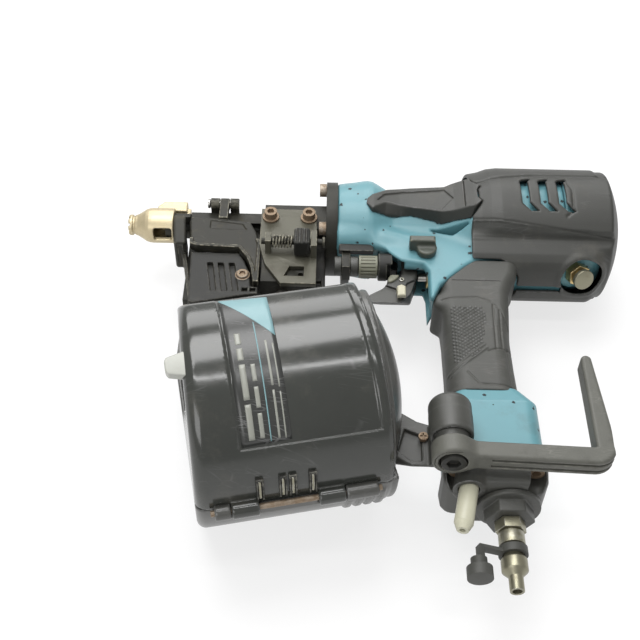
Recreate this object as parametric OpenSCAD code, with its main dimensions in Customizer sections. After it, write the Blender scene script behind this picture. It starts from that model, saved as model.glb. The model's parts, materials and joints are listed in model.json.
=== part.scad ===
// Pneumatic coil nailer lying on its right side.
// X runs from the nose to the rear, Y from the air plug to the top of the body.
// Z runs up from the surface it lies on.
// Built around the drive axis and the barrel front, then moved to the middle of its outline.

/* [Barrel] */
// Radius of the front of the barrel
barrel_r = 31; // [26:0.5:38]
// Radius of the rear of the barrel
rear_r = 37.5; // [33:0.5:44]
// Length of the barrel casting
barrel_len = 140; // [125:1:170]
// Bore radius of the drive cylinder
bore_r = 17.5; // [14:0.5:20]
// Stroke of the piston
stroke = 86; // [60:1:95]
// Wall of the rear cover
cover_wall = 2.8; // [2:0.1:4]

/* [Nose] */
// Reach of the contact tip ahead of the barrel
tip_reach = 133.7; // [120:0.1:160]
// Radius of the contact tip
tip_r = 11.2; // [10.6:0.1:13]
// Travel of the contact arm
contact_travel = 10; // [4:0.5:11]
// Radius of the driver blade
blade_r = 3.2; // [2.4:0.1:3.6]

/* [Handle] */
// Distance of the handle from the front of the barrel
handle_x = 82.5; // [81:0.5:100]
// Fore and aft half size of the handle casting
handle_hx = 16.5; // [14:0.1:18]
// Distance from the drive axis to the top of the stay bracket
handle_drop = 161; // [150:1:200]
// Thickness of the grip sleeve
grip_t = 3.5; // [2:0.1:5]
// Distance from the top of the stay bracket to the bottom of the end cap
cap_h = 41; // [36:1:55]
// Length of the air plug outside its bushing
plug_len = 39; // [34:1:50]

/* [Magazine] */
// Outer radius of the drum
drum_r = 62.5; // [50:0.5:75]
// Length of the drum between its end faces
drum_len = 104; // [85:1:115]
// Wall of the drum
drum_wall = 2.5; // [1.8:0.1:4]
// Tilt of the drum axis
drum_tilt = 12; // [6:0.5:15]
// Radius of the nail support plate
support_r = 48; // [30:1:56]

/* [Hook] */
// Length of the hook from its pivot
hook_len = 80; // [60:1:110]
// Height of the hook leg
hook_leg = 50; // [30:1:60]

/* [Hidden] */
$fn = 48;

// Running gap between moving pieces and seating gap between fixed ones
run = 0.4;
seat = 0.1;

// Barrel
sleeve_r = bore_r + 2.5;
mouth_r = barrel_r - 2;
waist_r = sleeve_r + 4;
hump_x0 = 16;
hump_x1 = 22;
waist_x0 = 34;
waist_x1 = 62;
cone_end = 97;
cover_r = rear_r + 0.7 + cover_wall;
lobe_r = cover_r - 11;
lobe_y = -15.5;
head_end = barrel_len + 34;
x_tail = barrel_len + 42;
chamber_r = 27;
chamber_x0 = cone_end - 11;
web = 8;
sleeve_end = barrel_len - 8;
piston_x = sleeve_end - 12;
bumper_end = piston_x - stroke - 0.6;
cover_x0 = 84;
cover_chamfer = 3.5;
pad_z = waist_r + 9;

// Nose
x_tip = -tip_reach;
tip_bore_x = x_tip + 13;
muzzle_x = tip_bore_x + contact_travel + 1;
muzzle_r = tip_r - 3.2;
nose_x0 = x_tip + 39.7;
channel_r = blade_r + 0.4;
gap_z = channel_r + 0.6;
tip_x1 = nose_x0 - contact_travel;
plate_x0 = -46;
door_x1 = plate_x0 - 3.5;
hinge_y = 12;
hinge_z = 9;
flange_r = barrel_r - 1;
flange_t = 7;
bolt_at = flange_r * 0.585;
ring_r = barrel_r + 1.4;
rod_y = -(barrel_r + 9.5);
rod_z = 8;
rod_end = 28;

// Trigger and valve
ear_y = -(barrel_r + 14);
ear_z0 = 10.5;
ear_z1 = 15;
roof_y = -27;
pivot_x = 44;
pivot_y = -34;
valve_y = -41;
wall_x = 58;
sel_x = 54;
sel_y = -(barrel_r + 5.5);

// Handle and end cap
handle_hz = handle_hx - 2.5;
grip_y0 = -(handle_drop - 27);
flare_hx = handle_hx + 10;
flare_hz = handle_hx + 4.5;
flare_x = handle_x + 1;
cap_y0 = -handle_drop - 0.8;
cap_y1 = cap_y0 - cap_h;
cap_mid = cap_y0 - 26;
flare_y0 = cap_mid + 4;
plug_x = handle_x + 8;
bush_h = 10;
plug_y0 = cap_y1 - bush_h;
plug_y1 = plug_y0 - plug_len;

// Drum
drum_x = -27;
drum_z = drum_r - cover_r;
drum_y = -(drum_r + 88.5);
s0 = -3 - drum_len / 2;
s1 = s0 + drum_len;
dome_h = 13.5;
hinge_p = -(drum_r + 2.5);
hinge_pitch = (drum_len - 32) / 2;
neck_y0 = drum_y + sqrt(drum_r * drum_r - (drum_z + 12) * (drum_z + 12)) - 16;
split = atan(drum_z / (2 * drum_r));
slot_z0 = -drum_z - gap_z - 0.4;
slot_z1 = -drum_z + gap_z + 0.4;

// Hook
post_r = 11.4;
post_x = flare_x - flare_hx + 2;
post_z = flare_hz + post_r + 0.6;
stay_x1 = flare_x - flare_hx - 0.1;
post_y0 = cap_y0 - 25.7;
eye_h = 11;
eye_y1 = post_y0 - run;
eye_y0 = eye_y1 - eye_h;

// Outline
y_high = cover_r;
axis_h = cover_r;

module lay() {
    translate([-(x_tip + x_tail) / 2, -(plug_y1 + y_high) / 2, axis_h]) children();
}

module xcyl(r, x0, x1) {
    translate([x0, 0, 0]) rotate([0, 90, 0]) cylinder(r = r, h = x1 - x0);
}

module xcone(ra, rb, x0, x1) {
    translate([x0, 0, 0]) rotate([0, 90, 0]) cylinder(r1 = ra, r2 = rb, h = x1 - x0);
}

module ycyl(r, y0, y1) {
    translate([0, y1, 0]) rotate([90, 0, 0]) cylinder(r = r, h = y1 - y0);
}

module ycone(rlow, rhigh, y0, y1) {
    translate([0, y1, 0]) rotate([90, 0, 0]) cylinder(r1 = rhigh, r2 = rlow, h = y1 - y0);
}

module zcyl(r, z0, z1) {
    translate([0, 0, z0]) cylinder(r = r, h = z1 - z0);
}

module block(x0, x1, y0, y1, z0, z1) {
    translate([x0, y0, z0]) cube([x1 - x0, y1 - y0, z1 - z0]);
}

module side(pts, z0, z1) {
    translate([0, 0, z0]) linear_extrude(z1 - z0) polygon(pts);
}

module across(pts, x0, x1) {
    translate([x0, 0, 0]) rotate([90, 0, 90]) linear_extrude(x1 - x0) polygon(pts);
}

module column(hx, hz, r, y0, y1) {
    translate([0, y1, 0]) rotate([90, 0, 0]) linear_extrude(y1 - y0) {
        square([2 * (hx - r), 2 * hz], center = true);
        square([2 * hx, 2 * (hz - r)], center = true);
        for (sx = [-1, 1], sz = [-1, 1]) translate([sx * (hx - r), sz * (hz - r)]) circle(r);
    }
}

module plan(pts, y0, y1) {
    translate([0, y1, 0]) rotate([90, 0, 0]) linear_extrude(y1 - y0) polygon(pts);
}

module spun(pts) {
    rotate([0, 90, 0]) rotate_extrude() polygon(pts);
}

// Barrel casting grown outwards by a gap
module barrel_shape(gap, x0, x1) {
    spun([[0, x0], [mouth_r + gap, x0], [barrel_r + gap, hump_x0], [barrel_r + gap, hump_x1],
        [waist_r + gap, waist_x0], [waist_r + gap, waist_x1], [rear_r + gap, cone_end],
        [rear_r + gap, x1], [0, x1]]);
}

module hexagon(af, z0, z1) {
    translate([0, 0, z0]) linear_extrude(z1 - z0) circle(r = af / sqrt(3), $fn = 6);
}

// Socket head standing along +Z from z = 0 with its shank below
module socket_screw(rs, rh, hh, shank) {
    difference() {
        union() {
            zcyl(rh, 0, hh);
            zcyl(rs, -shank, 0.01);
        }
        hexagon(rh * 1.05, hh * 0.4, hh + 1);
    }
}

// Wire spring along X: straight ends, then a helix of one unbroken tube
function wire_x(i, n, len, w) = let (b = 1.5 * w, h = len - 4 * w - 2 * b)
    i == 0 ? 0 : i == 1 ? 2 * w : i == 2 ? 2 * w + b * 0.5 : i == 3 ? 2 * w + b * 0.866
    : i < n - 4 ? 2 * w + b + h * (i - 4) / (n - 9)
    : len - wire_x(n - 1 - i, n, len, w);
function wire_a(i, n, r, w) = let (b = 1.5 * w, k = b / r * 57.3)
    i < 2 ? 0 : i == 2 ? k * 0.134 : i == 3 ? k * 0.5
    : i < n - 4 ? k + 45 * (i - 4)
    : 2 * k + 45 * (n - 9) - wire_a(n - 1 - i, n, r, w);
function wire_p(i, n, len, r, w) = let (a = wire_a(i, n, r, w))
    [wire_x(i, n, len, w), r * cos(a), r * sin(a)];
function unit(v) = v / norm(v);
function wire_gap(n, len, r, w) = min([for (i = [0 : n - 8], j = [i + 6 : n - 1])
    norm(wire_p(i, n, len, r, w) - wire_p(j, n, len, r, w))]) - 2 * w;

module wire_spring(label, r, w, len, curls) {
    n = 8 * curls + 9;
    ring = [for (i = [0 : n - 1]) let (
        p = wire_p(i, n, len, r, w),
        pa = wire_p(max(i - 1, 0), n, len, r, w),
        pb = wire_p(min(i + 1, n - 1), n, len, r, w),
        t = i < 2 || i > n - 3 ? [1, 0, 0] : unit(pb - pa),
        a = wire_a(i, n, r, w),
        u = [0, cos(a), sin(a)],
        v = unit(cross(t, u)))
        for (k = [0 : 5]) p + w * (cos(60 * k) * u + sin(60 * k) * v)];
    faces = concat(
        [for (i = [0 : n - 2], k = [0 : 5]) [6 * i + k, 6 * i + (k + 1) % 6, 6 * i + 6 + (k + 1) % 6]],
        [for (i = [0 : n - 2], k = [0 : 5]) [6 * i + k, 6 * i + 6 + (k + 1) % 6, 6 * i + 6 + k]],
        [[5, 4, 3, 2, 1, 0]],
        [[for (k = [0 : 5]) 6 * (n - 1) + k]]);
    echo(str(label, " least gap ", wire_gap(n, len, r, w)));
    polyhedron(points = ring, faces = faces);
}

module drum_frame() {
    translate([drum_x, drum_y, drum_z]) rotate([0, 0, drum_tilt]) children();
}

// Everything on the cover side of the parting plane, which passes through the cover hinge
module cover_side(gap) {
    translate([0, hinge_p, 0]) rotate([-split, 0, 0]) translate([-300, -60, gap]) cube([600, 400, 300]);
}

module button_frame() {
    translate([barrel_len + 7.2, -(rear_r - 1.9), 3.7]) rotate([0, 71.9, -71.6]) children();
}

module nozzle_frame() {
    translate([handle_x - 14, cap_y1, 14]) rotate([0, 0, -11.6]) children();
}

module body_housing() {
    lay() color("#7fa3a3") difference() {
        barrel_shape(0, 0, barrel_len);
        xcyl(sleeve_r + seat, web, barrel_len);
        xcyl(chamber_r, chamber_x0, barrel_len + 1);
        xcyl(9, -1, web + 1);
        translate([handle_x, 0, 0]) column(handle_hx - 5, handle_hz - 5, 6, -60, -15);
        for (a = [45 : 90 : 315]) rotate([a, 0, 0]) translate([0, bolt_at * sqrt(2), 0]) xcyl(2.6, -1, 7);
    }
}

// Trigger housing and hollow handle, seated against the underside of the barrel
module handle_frame() {
    lay() color("#7fa3a3") difference() {
        union() {
            side([[36, -15], [41, ear_y], [wall_x + 2, ear_y], [wall_x + 3, ear_y - 14],
                [handle_x - handle_hx + 1, ear_y - 22], [handle_x - handle_hx + 1, -15]], -ear_z1, ear_z1);
            translate([handle_x, 0, 0]) column(handle_hx, handle_hz, 9, grip_y0, -20);
            translate([flare_x, 0, 0]) column(flare_hx, flare_hz, 12, flare_y0, grip_y0);
        }
        barrel_shape(3 * seat, -10, barrel_len);
        block(30, wall_x, ear_y - 20, roof_y, -ear_z0, ear_z0);
        translate([handle_x, 0, 0]) column(handle_hx - 5, handle_hz - 5, 6, flare_y0 - 1, -15);
        translate([flare_x, 0, 0]) column(flare_hx - 10, flare_hz - 8, 8, flare_y0 - 1, grip_y0 - 6);
        translate([0, valve_y, 0]) xcyl(5.2, wall_x - 1, handle_x - handle_hx + 10);
        translate([pivot_x, pivot_y, 0]) zcyl(2.1, -30, 30);
        translate([sel_x, sel_y, 0]) zcyl(3.7, 5, 40);
        for (sx = [-1, 1], sz = [-1, 1]) translate([flare_x + sx * (flare_hx - 6), 0, sz * (flare_hz - 6)])
            ycyl(2.6, flare_y0 - 1, flare_y0 + 32);
    }
}

module cylinder_head() {
    lay() color("#7fa3a3") difference() {
        union() {
            rotate([0, 90, 0]) rotate_extrude() {
                translate([0, barrel_len + 0.2]) square([rear_r, 23]);
                translate([0, barrel_len + 0.2]) square([rear_r - 10.8, 33.8]);
                translate([rear_r - 10.8, barrel_len + 23.2]) circle(10.8);
            }
            button_frame() zcyl(10.5, -10, 1);
        }
        xcyl(chamber_r, barrel_len - 20, barrel_len + 20);
        block(0, barrel_len + 0.2, -80, 80, -80, 80);
        button_frame() zcyl(5.1, -8, 2);
        button_frame() zcyl(8.5, 1, 12);
    }
}

// Round cover with a rolled lobe along its underside, shrunk inwards by a wall
module cover_shape(wall) {
    x0 = cover_x0 - (wall > 0 ? 1 : 0);
    r = cover_r - wall;
    rotate([0, 90, 0]) rotate_extrude() {
        translate([0, x0]) square([cover_r - 14, x_tail - wall - x0]);
        polygon([[0, x0], [r - cover_chamfer, x0], [r, x0 + 10], [r, x_tail - 14], [0, x_tail - 14]]);
        translate([cover_r - 14, x_tail - 14]) circle(14 - wall);
    }
    translate([0, lobe_y, 0]) {
        xcyl(lobe_r - wall, x0, x_tail - 18);
        xcone(lobe_r - wall, lobe_r - wall - 8, x_tail - 18.1, x_tail - 10);
    }
}

module rear_cover() {
    lay() color("#1f211f") difference() {
        cover_shape(0);
        cover_shape(cover_wall);
        translate([handle_x, 0, 0]) column(handle_hx + 0.4, handle_hz + 0.4, 9.4, -80, -20);
        block(50, handle_x, -80, -20, -ear_z1 - 0.4, ear_z1 + 0.4);
        for (k = [0 : 2], m = [0, 1]) mirror([0, 0, m]) translate([cover_x0 + 28.4 + 11.2 * k, 0, 0])
            side([[0, 7], [4.6, 7], [4.6, -11.6], [9.8, -17], [5.4, -17], [0, -12.6]], 15, 60);
        block(cover_x0 + 26, cover_x0 + 58, -60, -30, -1.5, 1.5);
        button_frame() zcyl(12.5, -4, 30);
    }
}

module front_shroud() {
    x1 = cover_x0 - run;
    lay() color("#1f211f") difference() {
        union() {
            intersection() {
                side([[18, -6], [24, -14.5], [56, -22.5], [59, -25], [79, -26.5], [x1, -20], [x1, 20],
                    [67, 8], [waist_x0, 6], [21, 0]], -60, 60);
                plan([[17, -pad_z], [40, -pad_z], [x1, -rear_r - 0.7], [x1, rear_r + 0.7],
                    [40, pad_z], [17, pad_z]], -60, 60);
            }
            intersection() {
                spun([[0, waist_x0], [waist_r + 2, waist_x0], [waist_r + 3, waist_x1],
                    [waist_r + 4, waist_x1 + 5], [rear_r - 2.5, x1], [0, x1]]);
                block(0, 100, 0, 60, -60, 60);
            }
        }
        barrel_shape(run, -10, barrel_len);
        block(0, x1 + 1, -60, -10, -ear_z1 - run, ear_z1 + run);
    }
}

module grip_sleeve() {
    lay() color("#1b1c1b") difference() {
        translate([handle_x, 0, 0]) union() {
            column(handle_hx + grip_t, handle_hz + grip_t, 12, grip_y0 + 0.2, -cover_r - 5);
            translate([-6, 0, 0])
                column(handle_hx + grip_t, handle_hz + grip_t, 12, ear_y - 38, ear_y - 30);
        }
        translate([handle_x, 0, 0]) column(handle_hx + seat, handle_hz + seat, 9, grip_y0 - 1, 0);
        side([[handle_x - 60, ear_y - 30], [handle_x - handle_hx - 4, ear_y - 30], [handle_x, -cover_r - 5],
            [handle_x, 0], [handle_x - 60, 0]], -40, 40);
    }
}

module power_selector() {
    lay() color("#7d7a5c") translate([sel_x, sel_y, 0]) difference() {
        union() {
            zcyl(3.4, ear_z0 + 0.5, 19.4);
            zcyl(7.6, 19.4, 24);
            zcyl(6.4, 24, 27);
        }
        block(-8, 8, -1, 1, 25.4, 28);
        for (a = [0 : 30 : 330]) rotate([0, 0, a]) translate([8, 0, 0]) zcyl(0.9, 19, 28);
    }
}

module cylinder_sleeve() {
    lay() color("#9aa0a0") difference() {
        union() {
            xcyl(sleeve_r, web + 0.1, sleeve_end);
            xcyl(chamber_r - seat, sleeve_end - 12, sleeve_end);
        }
        xcyl(bore_r, web - 1, sleeve_end + 1);
        for (a = [0 : 60 : 300]) rotate([a, 0, 0]) translate([web + 32, 0, 0]) zcyl(2, 0, 60);
    }
}

module bumper() {
    lay() color("#3a3326") difference() {
        union() {
            xcyl(bore_r - seat, web + 0.1, bumper_end - 6);
            xcone(bore_r - seat, bore_r - 5, bumper_end - 6, bumper_end);
        }
        xcyl(blade_r + 1.2, web - 1, bumper_end + 1);
    }
}

module piston() {
    lay() color("#a9a9a4") difference() {
        xcyl(bore_r - 0.08, piston_x, piston_x + 11);
        translate([piston_x + 4, 0, 0]) difference() {
            xcyl(bore_r + 1, 0, 3);
            xcyl(bore_r - 2.5, -1, 4);
        }
        xcyl(5.1, piston_x - 1, piston_x + 9);
    }
}

module piston_seal() {
    lay() color("#20201e") translate([piston_x + 4.1, 0, 0]) difference() {
        xcyl(bore_r - 0.06, 0, 2.8);
        xcyl(bore_r - 2.4, -1, 4);
    }
}

module driver_blade() {
    lay() color("#8d8f8f") union() {
        xcyl(blade_r, muzzle_x + stroke - 15, piston_x + 0.1);
        xcyl(5, piston_x, piston_x + 8.9);
    }
}

module head_valve() {
    lay() color("#c9c5b4") difference() {
        xcyl(chamber_r - run, sleeve_end + run, sleeve_end + 13);
        xcyl(chamber_r - 8, sleeve_end + 6, sleeve_end + 14);
    }
}

module head_valve_spring() {
    lay() color("#8c8f8f") translate([sleeve_end + 6, 0, 0])
        wire_spring("head_valve_spring", 13, 1, barrel_len + 20 - sleeve_end - 6, 3);
}

module nose() {
    lay() color("#5b594c") difference() {
        union() {
            xcyl(muzzle_r, muzzle_x, nose_x0);
            block(nose_x0, plate_x0, -60, 9, -10, -gap_z);
            block(nose_x0, plate_x0, -1, 9, -gap_z - 0.1, gap_z - 0.4);
            block(plate_x0 - 0.1, -flange_t, -12, 9, -10, 11.8);
            xcyl(flange_r, -flange_t, 0);
            xcyl(8.8, -0.1, web - 0.4);
            for (x = [-81.4, -69]) {
                block(x, x + 5.6, 8.9, hinge_y, -1, hinge_z);
                translate([x, hinge_y, hinge_z]) xcyl(3.6, 0, 5.6);
            }
        }
        xcyl(channel_r, muzzle_x - 1, web + 1);
        block(muzzle_x + 4, plate_x0, -70, 0, -gap_z, 20);
        block(nose_x0 + 11, nose_x0 + 27, -46, -14, -11, -gap_z + 0.1);
        translate([0, hinge_y, hinge_z]) xcyl(2.1, -90, -60);
        for (a = [45 : 90 : 315]) rotate([a, 0, 0]) translate([0, bolt_at * sqrt(2), 0])
            xcyl(2.75, -flange_t - 1, 1);
        for (p = [[-42, -6], [-18, -6]]) translate([p[0], p[1], 0]) zcyl(2.6, 2, 20);
    }
}

module nose_bolts() {
    lay() color("#4a4034") for (a = [45 : 90 : 315]) rotate([a, 0, 0])
        translate([-flange_t - 0.1, bolt_at * sqrt(2), 0]) rotate([0, -90, 0])
            socket_screw(2.5, 4.2, 4.4, 12);
}

module contact_tip() {
    lay() color("#c4bfa4") difference() {
        union() {
            xcyl(6.5, x_tip, x_tip + 5);
            xcone(6.5, tip_r, x_tip + 5, x_tip + 14.7);
            xcyl(tip_r, x_tip + 14.6, tip_x1);
            block(x_tip + 22.7, x_tip + 38.7, 9.5, 14.5, -10, 2);
        }
        xcyl(channel_r + 1, x_tip - 1, x_tip + 14);
        xcyl(muzzle_r + 0.5, tip_bore_x, tip_x1 + 1);
        block(x_tip + 19.5, x_tip + 27, -14, -7, 0, 14);
        for (a = [0 : 45 : 315]) rotate([a + 22, 0, 0]) block(x_tip - 1, x_tip + 1.6, 5, 8, -1, 1);
    }
}

module contact_arm() {
    lay() color("#7b7868") difference() {
        union() {
            block(x_tip + 38.8, -22, 9.8, 12.8, -12, -3);
            across([[9.8, -12], [12.8, -4], [ring_r * 0.72 + 4, -ring_r * 0.72 + 3],
                [ring_r * 0.72 - 3, -ring_r * 0.72 - 4]], -26, -22);
            rotate([-45, 0, 0]) block(-26, 8, ring_r + 0.4, ring_r + 2.8, -5, 5);
            difference() {
                xcyl(ring_r + 3.2, 3, 8);
                xcyl(ring_r, 2, 9);
                across([[0, 0], [60, -60], [60, 60], [-60, 60], [-60, 10.6]], 2, 9);
            }
            block(3, 8, rod_y - 6, -ring_r - 0.6, rod_z - 6, rod_z + 6);
        }
        translate([0, rod_y, rod_z]) xcyl(4.1, 0, 20);
    }
}

module contact_spring() {
    lay() color("#8c8f8f") translate([-21.9, 17, -10]) wire_spring("contact_spring", 2.8, 0.5, 14.8, 4);
}

module push_rod() {
    lay() color("#2a2a28") translate([0, rod_y, rod_z]) union() {
        xcyl(4, 2, rod_end);
        xcyl(6, -1.6, 2.8);
    }
}

module dial_sleeve() {
    lay() color("#23231f") translate([0, rod_y, rod_z]) difference() {
        union() {
            xcyl(6.2, 8.1, 13);
            xcyl(6.2, 25, rod_end - 0.6);
        }
        xcyl(4.05, 0, 40);
    }
}

module depth_dial() {
    lay() color("#6f6c58") translate([0, rod_y, rod_z]) difference() {
        union() {
            xcyl(7, 13.4, 24.6);
        }
        xcyl(4.1, 0, 40);
        for (a = [0 : 20 : 340]) rotate([a, 0, 0]) translate([0, 7.2, 0]) xcyl(0.7, 14.6, 23.4);
    }
}

module feeder_block() {
    lay() color("#6a6a62") difference() {
        block(plate_x0, -18, -58, -12.2, -10, 11.9);
        translate([-33, 0, 1]) ycyl(8.5, -54, -18);
        translate([-33, 0, 1]) ycyl(3.9, -60, -50);
        for (p = [[-42, -24], [-22, -52]]) translate([p[0], p[1], 0]) zcyl(1.6, 4, 20);
    }
}

module feeder_plate() {
    lay() color("#4b4a42") difference() {
        union() {
            side([[-48, 2], [-13.5, 1.4], [-12.6, -20], [-12.6, -62], [-34, -62], [-44, -46],
                [-48, -30]], 12, 15);
            side([[-44, -38], [-40.5, -38], [-40.5, -30], [-44, -30]], 14.9, 26);
            side([[-16.2, -41], [-12.6, -41], [-12.6, -28], [-16.2, -28]], 14.9, 26);
        }
        for (p = [[-42, -6], [-18, -6]]) translate([p[0], p[1], 0]) zcyl(2.7, 0, 20);
        translate([0, -34, 22]) xcyl(2.3, -60, 0);
        side([[-32, -56], [-20, -56], [-20, -48], [-29, -48]], 10, 20);
    }
}

module feeder_bolts() {
    lay() color("#6b4a30") for (p = [[-42, -6], [-18, -6]]) translate([p[0], p[1], 15.1]) {
        difference() {
            zcyl(5.2, 0, 1.2);
            zcyl(2.6, -1, 2);
        }
        translate([0, 0, 1.2]) socket_screw(2.5, 3.9, 4.4, 12);
    }
}

module feed_piston() {
    lay() color("#8d8f8f") translate([-33, 0, 1]) union() {
        ycyl(8.4, -36, -26);
        ycyl(3.6, -64, -35.9);
    }
}

module feed_pawl() {
    lay() color("#57544a") difference() {
        union() {
            block(-38, -28, -70, -64.1, -18, 5);
            block(nose_x0 + 14, -28, -70, -64.1, -18, -12.6);
            block(nose_x0 + 14, nose_x0 + 24, -70, -24, -18, -12.6);
            block(nose_x0 + 14, nose_x0 + 24, -36, -24, -12.7, -gap_z + 1.2);
        }
        translate([0, -14, 0]) block(nose_x0, nose_x0 + 40, -26, -12, -30, -15.5);
    }
}

module feed_spring() {
    lay() color("#8c8f8f") translate([-33, -18.1, 1]) rotate([0, 0, -90])
        wire_spring("feed_spring", 5.5, 0.7, 7.8, 1);
}

module nail_guide_door() {
    lay() color("#3c3c38") difference() {
        union() {
            side([[nose_x0 + 1, 5], [door_x1, 5], [door_x1, -58], [door_x1 - 5, -58],
                [door_x1 - 8, -44], [door_x1 - 13, -33], [nose_x0 + 1, -33]], gap_z, gap_z + 6.5);
            side([[nose_x0 + 1, -27], [nose_x0 + 1, -33], [door_x1 - 13, -33], [door_x1 - 8, -44],
                [door_x1 - 5, -58], [door_x1, -58], [door_x1, -52], [door_x1 - 6, -34],
                [door_x1 - 12, -27]], gap_z + 6.4, gap_z + 9);
            block(nose_x0 + 1, door_x1, 0, 5, gap_z + 6.4, gap_z + 8.4);
            block(-75.4, -69.4, 4.9, hinge_y, hinge_z, hinge_z + 3.6);
            translate([0, hinge_y, hinge_z]) xcyl(3.6, -75.4, -69.4);
        }
        translate([0, hinge_y, hinge_z]) xcyl(2.2, -90, -60);
        for (k = [0 : 3]) block(nose_x0 + 6 + 8 * k, nose_x0 + 11 + 8 * k, -22, -5, gap_z + 5, gap_z + 8);
    }
}

module door_hinge_pin() {
    lay() color("#8d8f8f") translate([0, hinge_y, hinge_z]) union() {
        xcyl(2, -82, -63.2);
        xcyl(3, -83.4, -81.9);
    }
}

module latch_knob() {
    lay() color("#2a2a28") translate([0, -34, 22]) difference() {
        xcyl(6.3, -27, -18);
        xcyl(2.05, -30, 0);
        for (a = [0 : 40 : 320]) rotate([a, 0, 0]) translate([0, 7, 0]) xcyl(1.3, -28, -17);
    }
}

module latch_shaft() {
    lay() color("#8d8f8f") translate([0, -34, 22]) union() {
        xcyl(2, -46.5, -9.1);
        xcyl(3.2, -9.2, -7.6);
    }
}

module latch_spring() {
    lay() color("#a5a7a4") translate([-40.4, -34, 22]) wire_spring("latch_spring", 3.4, 0.6, 13.3, 4);
}

module trigger() {
    lay() color("#20211f") difference() {
        side([[40, -30.5], [47.5, -30.5], [49.5, -36], [49.4, -46], [47, -56], [41, -63], [31, -66],
            [20, -64], [18.5, -61], [25, -58.5], [33, -56], [38, -52], [40, -46]], -8, 8);
        side([[36, -27], [52, -27], [52, -52], [46, -52], [43, -46], [36, -42]], -4, 4);
        translate([pivot_x, pivot_y, 0]) zcyl(2.2, -20, 20);
        translate([38.5, -59, 0]) zcyl(2.7, -20, 20);
    }
}

module trigger_pin() {
    lay() color("#8d8f8f") translate([pivot_x, pivot_y, 0]) zcyl(2, -ear_z1, ear_z1);
}

module trigger_arm() {
    lay() color("#8d8b6e") difference() {
        side([[41, -31], [47, -31], [49, -37], [49, -46], [46.5, -51], [43.6, -46], [41, -42]], -2.2, 2.2);
        translate([pivot_x, pivot_y, 0]) zcyl(2.3, -20, 20);
    }
}

module mode_lever() {
    lay() color("#c9bfa2") translate([38.5, -59, 0]) union() {
        zcyl(2.5, -9.5, 9.6);
        side([[-3.4, -3], [3.4, -3], [3.4, 6], [0, 8], [-3.4, 6]], 8.6, 11.6);
    }
}

module valve_bushing() {
    lay() color("#b08d4a") translate([0, valve_y, 0]) difference() {
        union() {
            xcyl(5.1, wall_x - 0.3, wall_x + 18);
            xcyl(6.6, wall_x - 2.6, wall_x - 0.1);
        }
        xcyl(2.6, wall_x - 4, wall_x + 20);
        xcyl(4.2, wall_x + 4, wall_x + 14);
    }
}

module valve_plunger() {
    lay() color("#b9bbb8") translate([0, valve_y, 0]) union() {
        xcyl(2.5, 50.2, wall_x + 17);
        xcyl(3.7, wall_x + 4.4, wall_x + 6.4);
    }
}

module valve_spring() {
    lay() color("#8c8f8f") translate([wall_x + 6.5, valve_y, 0])
        wire_spring("valve_spring", 3.3, 0.35, 7.4, 2);
}

module magazine_base() {
    lay() color("#2c2d2a") difference() {
        union() {
            drum_frame() difference() {
                union() {
                    difference() {
                        xcyl(drum_r, s0, s1);
                        xcyl(drum_r - drum_wall, s0 + drum_wall, s1 + 1);
                        cover_side(-0.3);
                    }
                    xcyl(drum_r, s1 + run, s1 + 3 + run);
                    intersection() {
                        xcyl(drum_r, s1 - 1, s1 + 1);
                        difference() {
                            translate([0, 0, -300]) cube([600, 600, 600], center = true);
                            cover_side(-0.3);
                        }
                    }
                    translate([s1 + 3, 0, 0]) rotate([0, 90, 0]) rotate_extrude() {
                        square([drum_r - 6 - dome_h, dome_h]);
                        intersection() {
                            translate([drum_r - 6 - dome_h, 0]) circle(dome_h);
                            square([drum_r, dome_h]);
                        }
                    }
                    for (k = [0 : 2]) translate([s0 + 8 + k * hinge_pitch, hinge_p, 0]) {
                        xcyl(3.8, 0, 11);
                        block(0, 11, 0, 5, -6, -0.8);
                    }
                }
                xcyl(drum_r - drum_wall - 8, s1 - 2, s1);
                block(s0 + drum_wall, 30, 40, drum_r + 5, slot_z0, slot_z1);
                translate([0, hinge_p, 0]) xcyl(1.7, s0, s1);
                xcyl(6.1, s1 - 5, s1 + 10);
                for (k = [0, 1]) translate([s0 + 19 + k * hinge_pitch, hinge_p, 0])
                    xcyl(4.3, 0, hinge_pitch - 11);
            }
            difference() {
                block(nose_x0 + 1, plate_x0 - 2, neck_y0, -60.2, -12, -gap_z);
                for (k = [0 : 2]) translate([nose_x0 + 8 + 11 * k, 0, 0])
                    block(0, 6, -88, -66, -13, -gap_z + 1);
                drum_frame() xcyl(drum_r - 0.5, s0 + 0.5, s1);
            }
        }
    }
}

module magazine_cover() {
    lay() color("#262826") drum_frame() difference() {
        union() {
            intersection() {
                difference() {
                    xcyl(drum_r, s0, s1);
                    xcyl(drum_r - drum_wall, s0 + drum_wall, s1 + 1);
                }
                cover_side(0.3);
            }
            for (k = [0, 1]) translate([s0 + 19.4 + k * hinge_pitch, hinge_p, 0]) {
                xcyl(3.8, 0, hinge_pitch - 11.8);
                block(0, hinge_pitch - 11.8, 0, 5, 0.8, 6);
            }
            block(s0 - 3.5, s0 + 0.5, 8, 24, drum_r - 14, drum_r - 8);
        }
        block(s0 + drum_wall, 30, 40, drum_r + 5, slot_z0, slot_z1);
        translate([0, hinge_p, 0]) xcyl(1.9, s0, s1);
        for (k = [0 : 2]) translate([s0 + 7.6 + k * hinge_pitch, hinge_p, 0])
            xcyl(4.3, 0, 11.8);
    }
}

module cover_hinge_pin() {
    lay() color("#8d8f8f") drum_frame() translate([0, hinge_p, 0])
        xcyl(1.6, s0 + 6, s0 + 21 + 2 * hinge_pitch);
}

module support_spindle() {
    lay() color("#a9a9a4") drum_frame() xcyl(6, s0 + 11, s1 + 9.8);
}

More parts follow.
